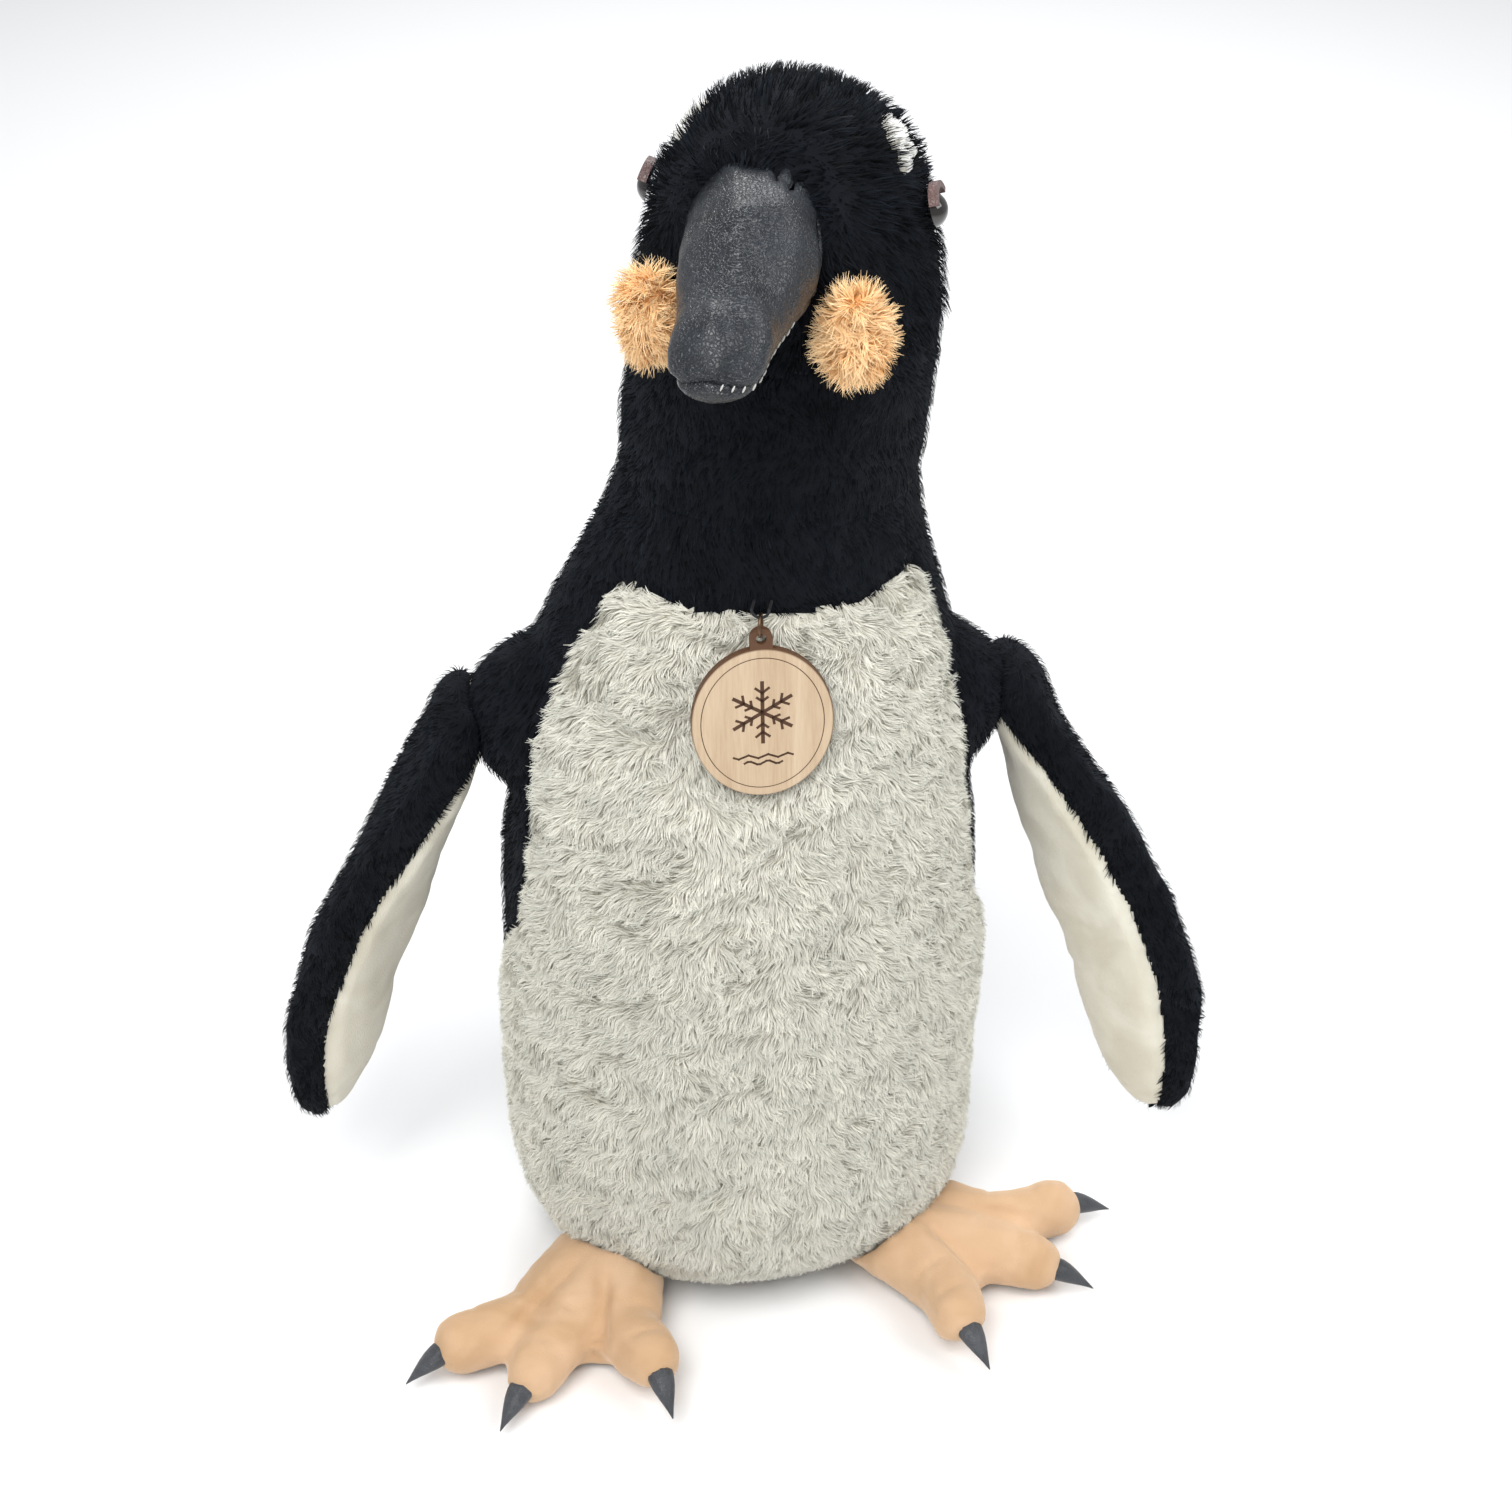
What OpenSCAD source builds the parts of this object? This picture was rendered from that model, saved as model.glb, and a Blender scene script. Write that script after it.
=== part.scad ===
// Plush penguin: stuffed body, turning head, two flippers, clawed feet and a wooden medallion.
// It stands on its weighted base and faces -Y, with +Z up. Left and right are the penguin's own.

/* [Body] */
// Height of the body, from the floor to the neck seam
torso_h = 392; // [320:1:480]
// Width of the body at its widest
torso_w = 210; // [170:1:260]
// Depth of the body at its deepest
torso_d = 172; // [140:1:215]
// Thickness of the plush covers, pile and backing together
cover_t = 6; // [4:0.5:8]
// Height of the black yoke between the bib and the neck seam
yoke_h = 32; // [20:1:45]
// Height of the bag of weighting pellets in the base
pellet_h = 26; // [15:1:40]
// Thickness of the flat base panel
base_t = 2.5; // [1.5:0.5:4]

/* [Neck and head] */
// Width of the neck
neck_w = 121; // [100:1:145]
// Depth of the neck
neck_d = 112; // [92:1:135]
// Height from the neck seam to the crown
head_h = 151; // [125:1:180]
// How far the head is turned to its right at rest, in degrees
head_yaw = 20; // [0:1:35]
// How far the crown leans sideways from the middle of the base
head_lean = 18; // [0:1:24]
// How far the head pokes forward of the neck
head_poke = 9; // [0:1:15]
// Diameter of each glass-look eye
eye_d = 13; // [10:0.5:16]
// Diameter of an eye's shank
shank_d = 4; // [3:0.5:5]

/* [Beak] */
// Length of the beak, measured forward from the middle of the head to its tip
beak_reach = 119; // [105:1:145]
// Width of the beak where it leaves the head
beak_w = 46; // [38:1:54]
// Height of the beak where it leaves the head
beak_h = 50; // [42:1:56]
// How far the tip drops below the root
beak_drop = 16; // [8:1:30]
// Thickness of the leather skin
leather_t = 1.6; // [1:0.1:2.5]

/* [Flippers] */
// Length of a flipper, from its shoulder pivot to its tip
flipper_l = 243; // [200:1:290]
// Width of the blade at its widest
flipper_w = 80; // [64:1:96]
// Thickness of the shoulder roll
flipper_t = 31; // [25:1:36]
// How far the tip hangs outside its pivot
flipper_reach = 73; // [60:1:90]

/* [Feet] */
// Length of the longest toe, from the ankle to the end of the stuffed toe
toe_l = 93; // [78:1:110]
// Thickness of a toe
toe_t = 28; // [22:1:32]
// Height of the instep
instep_h = 40; // [32:1:46]
// Thickness of the sole
sole_t = 4; // [3:0.5:6]
// Length of a claw
claw_l = 20; // [16:1:26]
// Diameter of a claw at its root
claw_d = 10.5; // [8:0.5:13]

/* [Medallion] */
// Height of the oval wooden disc
medal_h = 60; // [48:1:72]
// Width of the oval wooden disc
medal_w = 53; // [44:1:64]
// Thickness of the disc
medal_t = 3; // [2:0.25:4]
// Diameter of the hole in its lug
hole_d = 4; // [3.8:0.1:4.8]
// Mean diameter of the jump ring
ring_d = 8.4; // [7.5:0.1:11]
// Diameter of the ring's wire
wire_d = 1.1; // [0.8:0.1:1.3]

/* [Tail] */
// Length of the tail behind the body
tail_l = 62; // [45:1:80]
// Width of the tail at its root
tail_w = 78; // [60:1:95]

/* [Hidden] */

$fn = 32;

// Thickness of the velour and short plush on the feet, flippers and tail
velour_t = 4;
// Reach past every outline, for blocks that cut
far = 500;

// Clearance between soft pieces on different bodies, and between a filling and its cover
joint_gap = 0.5;
fill_gap = 1.4;
// Gap between pieces that are sewn on to a curved cover
sewn_gap = 0.5;

// Colours of the fabrics and fittings
black_plush = [0.05, 0.05, 0.07];
white_plush = [0.88, 0.87, 0.82];
peach = [0.93, 0.72, 0.52];
slate = [0.15, 0.16, 0.19];
filling = [0.8, 0.8, 0.78];

crown_z = torso_h + head_h;
head_z = torso_h + 0.42 * head_h;
bib_z = torso_h - yoke_h;

// Height share, and share of the swell from the neck's size to the body's
torso_swell = [[0, 0.3], [0.03, 0.66], [0.1, 0.93], [0.23, 0.99], [0.4, 1], [0.52, 0.965],
               [0.64, 0.87], [0.76, 0.71], [0.86, 0.46], [0.94, 0.14], [1, 0]];
// Height share, and how far the front tucks in above the feet, in shares of the depth
tuck = [[0, 0.12], [0.05, 0.055], [0.1, 0.01], [0.16, 0]];
// Height share of the head, then width and depth as shares of the neck's
head_form = [[0, 1, 1], [0.2, 0.99, 1.0], [0.38, 0.965, 1.02], [0.6, 0.885, 1.03],
             [0.735, 0.79, 0.96], [0.845, 0.655, 0.8], [0.93, 0.465, 0.57], [0.98, 0.24, 0.3],
             [1, 0.01, 0.01]];
// Height share, and half the angle that the white front spans
bib_edge = [[0, 100], [0.15, 100], [0.3, 96], [0.42, 84], [0.48, 73], [0.52, 66], [0.58, 64],
            [0.7, 62], [0.85, 60], [0.92, 55], [1, 50]];

// Slope of a table at row i, flat where the table turns
function secant(tab, i, col) = (tab[i + 1][col] - tab[i][col]) / (tab[i + 1][0] - tab[i][0]);
function slope(tab, i, col) =
    i == 0 ? secant(tab, 0, col)
    : i == len(tab) - 1 ? secant(tab, i - 1, col)
    : let (before = secant(tab, i - 1, col), after = secant(tab, i, col))
      before * after <= 0 ? 0 : 2 * before * after / (before + after);

// Value of a table's column at x, on a smooth curve through its rows
function curve(tab, x, col = 1) =
    let (i = max([0, for (k = [0 : len(tab) - 2]) if (x >= tab[k][0]) k]),
         step = tab[i + 1][0] - tab[i][0],
         t = min(1, max(0, (x - tab[i][0]) / step)),
         rest = 1 - t)
    tab[i][col] * rest * rest * (1 + 2 * t) + tab[i + 1][col] * t * t * (3 - 2 * t)
    + slope(tab, i, col) * step * t * rest * rest - slope(tab, i + 1, col) * step * t * t * rest;

function ease(t) = t <= 0 ? 0 : t >= 1 ? 1 : t * t * (3 - 2 * t);
function span(from, to, count) = [for (i = [0 : count]) from + (to - from) * i / count];

// The body's outline at height z: half width, half depth, centre and heading
function head_share(z) = (z - torso_h) / head_h;
function swell(z) = curve(torso_swell, max(0, z) / torso_h);
function half_w(z) = z < torso_h ? neck_w / 2 + (torso_w - neck_w) / 2 * swell(z)
                                 : neck_w / 2 * curve(head_form, head_share(z), 1);
function full_d(z) = z < torso_h ? neck_d / 2 + (torso_d - neck_d) / 2 * swell(z)
                                 : neck_d / 2 * curve(head_form, head_share(z), 2);
function tucked(z) = torso_d * curve(tuck, max(0, z) / torso_h);
function half_d(z) = full_d(z) - tucked(z) / 2;
function centre_x(z) = head_lean * ease((z / torso_h - 0.7) / 0.5);
function centre_y(z) = tucked(z) / 2 - head_poke * ease(head_share(z) / 0.7);
function heading(z) = head_yaw * ease(head_share(z) / 0.5);

// Forward and rightward directions of the head, and a place given in them
head_x = centre_x(crown_z);
head_y = centre_y(crown_z);
function forward_of(yaw) = [-sin(yaw), -cos(yaw), 0];
function right_of(yaw) = [cos(yaw), -sin(yaw), 0];
function on_head(forward, right, z) =
    [head_x, head_y, z] + forward * forward_of(head_yaw) + right * right_of(head_yaw);

// Point of the skin at height z and angle u from the front, inset from the surface
function skin(z, u, inset = 0) =
    let (yaw = heading(z), w = max(half_w(z) - inset, 0.3), d = max(half_d(z) - inset, 0.3))
    [centre_x(z), centre_y(z), z - inset * ease((z - head_z) / (crown_z - head_z))]
    + d * cos(u) * forward_of(yaw) + w * sin(u) * right_of(yaw);

// How far forward the skin is at a place beside the head's middle, at height z
function skin_forward(side, z) = half_d(z) * sqrt(max(0, 1 - pow(side / half_w(z), 2)));

// Closed solid between two grids of points with the same rows and columns
module thick_patch(outer, inner) {
    rows = len(outer);
    cols = len(outer[0]);
    at = function(side, r, c) side * rows * cols + r * cols + c;
    quads = [
        for (r = [0 : rows - 2], c = [0 : cols - 2])
            [at(0, r, c), at(0, r, c + 1), at(0, r + 1, c + 1), at(0, r + 1, c)],
        for (r = [0 : rows - 2], c = [0 : cols - 2])
            [at(1, r, c), at(1, r + 1, c), at(1, r + 1, c + 1), at(1, r, c + 1)],
        for (r = [0 : rows - 2], e = [0, cols - 1])
            let (q = [at(0, r, e), at(0, r + 1, e), at(1, r + 1, e), at(1, r, e)])
            e == 0 ? q : [q[2], q[1], q[0], q[3]],
        for (c = [0 : cols - 2], e = [0, rows - 1])
            let (q = [at(0, e, c + 1), at(0, e, c), at(1, e, c), at(1, e, c + 1)])
            e == 0 ? q : [q[2], q[1], q[0], q[3]]
    ];
    tris = [for (q = quads) each [[q[0], q[2], q[1]], [q[0], q[3], q[2]]]];
    polyhedron(points = [for (side = [outer, inner]) for (row = side) each row], faces = tris);
}

// Closed solid through rings of points, each end closed by a fan round its middle
module closed_loft(rings) {
    rows = len(rings);
    cols = len(rings[0]);
    middle = function(ring) [for (axis = [0 : 2]) [for (p = ring) p[axis]] * [for (p = ring) 1]] / cols;
    points = [for (ring = rings) each ring, middle(rings[0]), middle(rings[rows - 1])];
    at = function(r, c) r * cols + c % cols;
    tris = [
        for (r = [0 : rows - 2], c = [0 : cols - 1])
            each [[at(r, c), at(r + 1, c + 1), at(r, c + 1)], [at(r, c), at(r + 1, c), at(r + 1, c + 1)]],
        for (c = [0 : cols - 1]) [at(0, c), at(0, c + 1), rows * cols],
        for (c = [0 : cols - 1]) [at(rows - 1, c + 1), at(rows - 1, c), rows * cols + 1]
    ];
    polyhedron(points = points, faces = tris);
}

// Piece of the skin between heights, its edges at the angles that two functions give for a height
module skin_panel(heights, from, to, cols, inset = 0, thick = cover_t) {
    grid = function(depth) [for (z = heights) [for (u = span(from(z), to(z), cols)) skin(z, u, depth)]];
    thick_patch(grid(inset), grid(inset + thick));
}

// Solid that fills the skin between heights
filling_cols = 24;
module skin_filling(heights, inset) {
    closed_loft([for (z = heights)
                 [for (c = [0 : filling_cols - 1]) skin(z, 360 * c / filling_cols, inset)]]);
}

function bib_angle(z) = curve(bib_edge, z / torso_h);
// Rows of the body up to the bib's edge, given for a bib that is 360 high
row_heights = [0, 4, 9, 16, 26, 40, 60, 85, 115, 145, 165, 182, 200, 225, 255, 285, 310, 335];
torso_rows = [for (z = row_heights) z * bib_z / 360];

module torso_stuffing() {
    heights = [for (z = torso_rows) if (z > base_t + pellet_h + fill_gap) z];
    color(filling)
        skin_filling([base_t + pellet_h + fill_gap, each heights, bib_z, torso_h - fill_gap],
                     cover_t + fill_gap);
}

module pellet_bag() {
    low = base_t + fill_gap;
    color([0.6, 0.62, 0.6]) skin_filling(span(low, low + pellet_h - fill_gap, 4), cover_t + 2 * fill_gap);
}

module belly_panel() {
    color(white_plush)
        skin_panel([base_t, each [for (z = torso_rows) if (z > base_t) z], bib_z],
                   function(z) -bib_angle(z), function(z) bib_angle(z), 16);
}

// Black back half on one side: 1 for the left, -1 for the right
module back_panel(side) {
    rows = [base_t, each [for (z = torso_rows) if (z > base_t) z], bib_z, (bib_z + torso_h) / 2, torso_h];
    color(black_plush)
        if (side > 0) skin_panel(rows, function(z) bib_angle(min(z, bib_z)), function(z) 180, 12);
        else skin_panel(rows, function(z) -180, function(z) -bib_angle(min(z, bib_z)), 12);
}

module throat_yoke() {
    color(black_plush)
        skin_panel([bib_z, (bib_z + torso_h) / 2, torso_h],
                   function(z) -bib_angle(bib_z), function(z) bib_angle(bib_z), 12);
}

module base_panel() {
    color(black_plush)
        linear_extrude(base_t)
            polygon([for (u = span(0, 350, 35)) let (p = skin(0, u)) [p[0], p[1]]]);
}

// Rings of a spur that leaves the skin: the first one hugs it. Each row gives a distance, a half
// width, a half height and a middle height; side is 1 at the front and -1 at the back.
function spur_ring(row, u, inset, hug, lean) =
    let (side = max(row[1] - inset, 0.4) * sin(u), up = max(row[2] - inset, 0.4) * cos(u),
         z = row[3] + up)
    [side, hug ? skin_forward(side, z) + sewn_gap + inset / 4 : row[0] - lean * up, z];

beak_z = torso_h + 0.71 * head_h;
beak_lean = 0.25;
// Distance share, width share, height share and drop share along the beak
beak_form = [[0, 1, 1, 0], [0.14, 1, 0.92, 0.05], [0.4, 0.86, 0.73, 0.35], [0.65, 0.76, 0.57, 0.62],
             [0.85, 0.7, 0.5, 0.85], [0.95, 0.5, 0.36, 0.96], [1, 0.14, 0.12, 1]];
// A spur's second ring stands this far in front of the skin
spur_start = 4;
beak_start = skin_forward(0, beak_z) + spur_start;

function beak_row(share) =
    [beak_start + (beak_reach - beak_start) * share, beak_w / 2 * curve(beak_form, share, 1),
     beak_h / 2 * curve(beak_form, share, 2), beak_z - beak_drop * curve(beak_form, share, 3)];
function beak_rings(angles, inset, shares) =
    [for (s = shares) [for (u = angles)
        let (p = spur_ring(beak_row(s), u, inset, s == 0, beak_lean)) on_head(p[1], p[0], p[2])]];

beak_shares = [0, 0.07, 0.14, 0.27, 0.4, 0.53, 0.65, 0.76, 0.85, 0.91, 0.96, 1];
// The mouth line runs round the beak at this angle from its ridge
mouth_u = 112;

module beak_skin(from, to, cols) {
    thick_patch(beak_rings(span(from, to, cols), 0, beak_shares),
                beak_rings(span(from, to, cols), leather_t, beak_shares));
}

module beak_upper() {
    color(slate)
        beak_skin(-mouth_u, mouth_u, 18);
}

module beak_lower() {
    color([0.06, 0.06, 0.08])
        beak_skin(mouth_u, 360 - mouth_u, 10);
}

module beak_stuffing() {
    color(filling)
        closed_loft([for (ring = beak_rings(span(0, 345, 23), leather_t + fill_gap / 2,
                                            [0.03, 0.14, 0.27, 0.4, 0.53, 0.65, 0.76, 0.85, 0.92]))
                     [for (i = [len(ring) - 1 : -1 : 0]) ring[i]]]);
}

// Tail: a wedge that leaves the back just above the floor
tail_z = 27;
tail_form = [[0, 1, 1, 0], [0.35, 0.86, 0.8, 0.2], [0.7, 0.66, 0.52, 0.55], [0.92, 0.4, 0.3, 0.86],
             [1, 0.16, 0.12, 1]];
tail_half_h = 22;
function tail_row(share) =
    [skin_forward(0, tail_z) + spur_start + tail_l * share, tail_w / 2 * curve(tail_form, share, 1),
     tail_half_h * curve(tail_form, share, 2), tail_z - (tail_z - 5) * curve(tail_form, share, 3)];
function tail_rings(angles, inset, shares) =
    [for (s = shares) [for (u = angles)
        let (p = spur_ring(tail_row(s), u, inset, s == 0, 0))
        [-p[0], centre_y(tail_z) + p[1] + (s == 0 ? tucked(p[2]) / 2 : 0), p[2]]]];

module tail_cover() {
    shares = [0, 0.2, 0.4, 0.6, 0.8, 0.92, 1];
    color(black_plush) {
        for (from = [-90, 90])
            thick_patch(tail_rings(span(from, from + 180, 12), 0, shares),
                        tail_rings(span(from, from + 180, 12), velour_t, shares));
    }
}

module tail_stuffing() {
    color(filling)
        closed_loft([for (ring = tail_rings(span(0, 342, 19), velour_t + fill_gap, [0, 0.2, 0.4, 0.6, 0.8]))
                     [for (i = [len(ring) - 1 : -1 : 0]) ring[i]]]);
}

// Feet: each toe is a heading from the foot's own, and a share of the longest toe
toes = [[33, 1, 2], [6, 0.89, 0], [-40, 0.82, 7]];
// Each foot's place in shares of the body's width and depth, and its heading
foot_place = [[0.2952, -0.2558, 60], [-0.3048, -0.2907, 28]];

module on_foot(side) {
    place = side > 0 ? foot_place[0] : foot_place[1];
    translate([place[0] * torso_w, place[1] * torso_d, 0])
        rotate([0, 0, side * place[2]])
            scale([side, 1, 1])
                children();
}

module pad(r, height, low) {
    translate([0, 0, low + height / 2]) scale([1, 1, height / (2 * r)]) sphere(r, $fn = 14);
}

// One foot's outer form, made smaller all round by inset
module foot_form(inset) {
    mid = 0.56;
    module ankle_pad() pad(27 - inset, instep_h - 2 * inset, inset);
    module mid_pad(toe) {
        rotate([0, 0, toe[0] * 0.8]) translate([0, -toe_l * toe[1] * mid, 0])
            pad(toe_t * 0.58 - inset, toe_t * 1.1 - 2 * inset, inset);
    }
    module tip_pad(toe) {
        rotate([0, 0, toe[0]]) translate([0, -toe_l * toe[1] + toe_t / 2, 0])
            pad(toe_t / 2 - inset, toe_t - 2 * inset, inset + toe[2]);
    }
    for (toe = toes) {
        hull() { ankle_pad(); mid_pad(toe); }
        hull() { mid_pad(toe); tip_pad(toe); }
    }
    for (i = [0, 1]) hull() {
        ankle_pad();
        rotate([0, 0, toes[i][0] * 0.8]) translate([0, -toe_l * toes[i][1] * mid, 0])
            pad(toe_t * 0.4 - inset, toe_t * 0.55 - 2 * inset, inset);
        rotate([0, 0, toes[i + 1][0] * 0.8]) translate([0, -toe_l * toes[i + 1][1] * mid, 0])
            pad(toe_t * 0.4 - inset, toe_t * 0.55 - 2 * inset, inset);
    }
}

// The room that the body takes above the feet
module body_room(clear) {
    closed_loft([for (share = [-0.005, 0.01, 0.023, 0.041, 0.066, 0.102, 0.153, 0.217], z = [share * torso_h])
                 [for (c = [0 : 35]) skin(max(z, 0), 10 * c, -clear) + [0, 0, min(z, 0)]]]);
}

module cut_below(z) {
    translate([-far, -far, z - far]) cube([2 * far, 2 * far, far]);
}

module foot_upper(side) {
    color(peach) difference() {
        on_foot(side) foot_form(0);
        on_foot(side) foot_form(velour_t);
        body_room(sewn_gap);
        cut_below(sole_t);
    }
}

module foot_sole(side) {
    color([0.45, 0.44, 0.42]) difference() {
        on_foot(side) foot_form(0);
        body_room(sewn_gap);
        translate([-far, -far, sole_t]) cube([2 * far, 2 * far, far]);
        cut_below(0);
    }
}

module foot_stuffing(side) {
    color(filling) difference() {
        on_foot(side) foot_form(velour_t + fill_gap / 2);
        body_room(5 * sewn_gap);
        cut_below(sole_t + 0.3);
    }
}

// The claws stand on the ends of the toes and point down a little
claw_dip = 14;
module claws(side) {
    color(slate)
        on_foot(side)
            for (toe = toes)
                rotate([0, 0, toe[0]])
                    translate([0, -toe_l * toe[1] - sewn_gap, toe[2] + toe_t / 2])
                        rotate([90 + claw_dip, 0, 0])
                            cylinder(h = claw_l, d1 = claw_d, d2 = 1);
}

head_rows = [torso_h + joint_gap, torso_h + 0.12 * head_h, torso_h + 0.24 * head_h, head_z];
crown_rows = [head_z, each [for (s = [0.5, 0.58, 0.66, 0.735, 0.79, 0.845, 0.89, 0.93, 0.96, 0.985, 1])
                            torso_h + s * head_h]];

module neck_stuffing() {
    color(filling)
        skin_filling([torso_h + joint_gap, each [for (i = [1 : 3]) head_rows[i]]], cover_t + fill_gap);
}

module throat_panel() {
    color(black_plush) skin_panel(head_rows, function(z) -95, function(z) 95, 14);
}

module nape_panel() {
    color(black_plush) skin_panel(head_rows, function(z) 95, function(z) 265, 12);
}

// Eyes: a dome on a shank that goes through the crown to a washer. Side is 1 for the left.
eye_z = torso_h + 0.7 * head_h;
eye_u = 91;
eye_tilt = 73;
washer_t = 1.5;
module on_eye(side) {
    translate(skin(eye_z, side * eye_u)) rotate([0, eye_tilt, side * eye_u - 90 - heading(eye_z)]) children();
}

module shank_hole(side) {
    on_eye(side) cylinder(h = 60, d = shank_d + 0.4, center = true);
}

module washer_room(side, clear) {
    on_eye(side) translate([0, 0, -cover_t - 9]) cylinder(h = 9, d = eye_d + 2 * clear);
}

module head_stuffing() {
    color(filling) difference() {
        skin_filling([head_z + fill_gap, each [for (i = [1 : 10]) crown_rows[i]]], cover_t + fill_gap);
        for (side = [1, -1]) washer_room(side, 1);
    }
}

// One half of the crown, from the seam along the top of the head: 1 for the left
module crown(side) {
    color(black_plush) difference() {
        if (side > 0) skin_panel(crown_rows, function(z) 0, function(z) 180, 14);
        else skin_panel(crown_rows, function(z) -180, function(z) 0, 14);
        shank_hole(side);
    }
}

// White plush sewn on above the eye
module white_patch(side) {
    rows = [for (s = [0.755, 0.8, 0.845, 0.89, 0.925]) torso_h + s * head_h];
    edge = function(z, share) side * (eye_u + 4 + share * (26 - 6 * ease((z - rows[0]) / 20)));
    color(white_plush)
        if (side > 0) skin_panel(rows, function(z) edge(z, -1), function(z) edge(z, 1), 8, -1.8, 1.5);
        else skin_panel(rows, function(z) edge(z, 1), function(z) edge(z, -1), 8, -1.8, 1.5);
}

module eye(side) {
    color([0.03, 0.025, 0.02]) on_eye(side) {
        intersection() {
            translate([0, 0, -eye_d * 0.12 + 1.2]) sphere(d = eye_d);
            translate([0, 0, 1.2]) cylinder(h = eye_d, d = eye_d * 1.2);
        }
        translate([0, 0, -cover_t - 4.5]) cylinder(h = cover_t + 4.5 + 1.2, d = shank_d);
    }
}

module eye_washer(side) {
    color("white") on_eye(side) translate([0, 0, -cover_t - 3.5]) difference() {
        cylinder(h = washer_t, d = eye_d);
        translate([0, 0, -1]) cylinder(h = washer_t + 2, d = shank_d + 0.1);
    }
}

module eyelid(side) {
    lid_r = eye_d / 2 + 0.4;
    lid_lift = 1.7;
    color([0.32, 0.22, 0.2]) on_eye(side) translate([0, 0, lid_lift])
        rotate([0, 0, 115]) rotate_extrude(angle = 130)
            translate([lid_r, 0]) square([2.4, 3.4]);
}

// Peach fur pads on the cheeks, each placed by its angle from the beak and its height
tuft_size = [22, 13, 36];
module cheek_tuft(side) {
    u = side > 0 ? 33 : 36;
    z = torso_h + 0.53 * head_h;
    out = tuft_size[1] / 2 + 1.5;
    color([0.95, 0.65, 0.38])
        translate(skin(z, side * u, -out)) rotate([0, 0, -heading(z) + side * u * 0.95])
            resize(tuft_size) sphere(10, $fn = 18);
}

// Flippers, made on the left side and mirrored for the right
pivot_z = torso_h * 0.724;
shoulder_r = flipper_t / 2;
pivot_x = centre_x(pivot_z) + half_w(pivot_z) + shoulder_r + joint_gap + 0.7;
flipper_drop = sqrt(pow(flipper_l, 2) - pow(flipper_reach, 2));
// Length share, then reach, drop, half width, half thickness and twist in degrees
flipper_form = [[0, 0, 0, 0.68, 1, 0], [0.23, 0.32, 0.22, 0.92, 0.94, 28], [0.5, 0.68, 0.49, 1, 0.88, 38],
                [0.65, 0.84, 0.64, 0.98, 0.84, 39], [0.8, 0.94, 0.79, 0.88, 0.76, 38],
                [0.9, 0.98, 0.89, 0.72, 0.66, 36], [0.97, 0.995, 0.965, 0.44, 0.44, 33],
                [1, 1, 1, 0.08, 0.1, 30]];

function flipper_ring(share, angles, inset) =
    let (s = max(share, 0), round_off = share >= 0 ? 1 : sqrt(1 - pow(share * flipper_l / shoulder_r, 2)),
         x = pivot_x + flipper_reach * curve(flipper_form, s, 1)
             + (share < 0 ? share * flipper_l * 0.38 : 0),
         z = pivot_z - flipper_drop * curve(flipper_form, s, 2)
             - (share < 0 ? share * flipper_l * 0.92 : 0),
         tilt = 22 - 14 * ease(s * 1.1),
         w = max(flipper_w / 2 * curve(flipper_form, s, 3) * pow(round_off, 0.6) - inset, 0.6),
         t = max(shoulder_r * curve(flipper_form, s, 4) * round_off - inset, 0.5),
         twist = curve(flipper_form, s, 5))
    [for (u = angles)
        let (along = w * cos(u), out = t * sin(u),
             across = out * cos(twist) + along * sin(twist))
        [x + across * cos(tilt), -along * cos(twist) + out * sin(twist), z + across * sin(tilt)]];

flipper_shares = [-0.062, -0.05, -0.03, 0, 0.06, 0.13, 0.23, 0.34, 0.45, 0.56, 0.67, 0.78, 0.87,
                  0.93, 0.97, 1];
lining_from = 196;
lining_to = 308;

// The left flipper hangs a little forward and the right one a little back
flipper_sweep = [6, -6];
module on_shoulder(side) {
    translate([0, 0, pivot_z]) rotate([-flipper_sweep[side > 0 ? 0 : 1], 0, 0]) translate([0, 0, -pivot_z])
        mirror([side > 0 ? 0 : 1, 0, 0]) children();
}

module flipper_panel(side, from, to, cols) {
    grid = function(inset) [for (s = flipper_shares) flipper_ring(s, span(from, to, cols), inset)];
    on_shoulder(side) thick_patch(grid(0), grid(velour_t));
}

module flipper_cover(side) {
    color(black_plush) flipper_panel(side, lining_to - 360, lining_from, 16);
}

module flipper_lining(side) {
    color(white_plush) flipper_panel(side, lining_from, lining_to, 10);
}

module flipper_stuffing(side) {
    rings = [for (s = [-0.02, 0.06, 0.13, 0.23, 0.34, 0.45, 0.56, 0.67, 0.78, 0.87, 0.92])
             flipper_ring(s, span(0, 342, 19), velour_t + fill_gap)];
    color(filling) on_shoulder(side) closed_loft(rings);
}

// Medallion: an oval disc with a lug, on a jump ring, on a loop of thread sewn to the chest
medal_lean = 8;
medal_drop = medal_h + 5;
hole_z = bib_z - 3;
medal_low_z = hole_z - medal_drop * cos(medal_lean) + 6;
function chest_y(z) = centre_y(z) - half_d(z);
hole_y = chest_y(medal_low_z) - 1.2 - medal_t / 2 + (medal_drop - 6) * sin(medal_lean);
lug_r = hole_d / 2 + 2.2;
// The ring's plane stands at this angle to the disc
ring_turn = 76;
ring_up = ring_d / 2 + hole_d / 2 - wire_d / 2 - 0.6;
thread_d = 1.1;
loop_d = 6.4;
loop_up = ring_up + ring_d / 2 - wire_d / 2 - thread_d / 2 - 0.2;
// The loop's legs go back almost to the yoke
leg_clear = 2.6;
loop_leg = (chest_y(hole_z + loop_up + loop_d / 2) - hole_y) / cos(medal_lean) - leg_clear;

module on_medal() {
    translate([0, hole_y, hole_z]) rotate([90 - medal_lean, 0, 0]) children();
}

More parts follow.
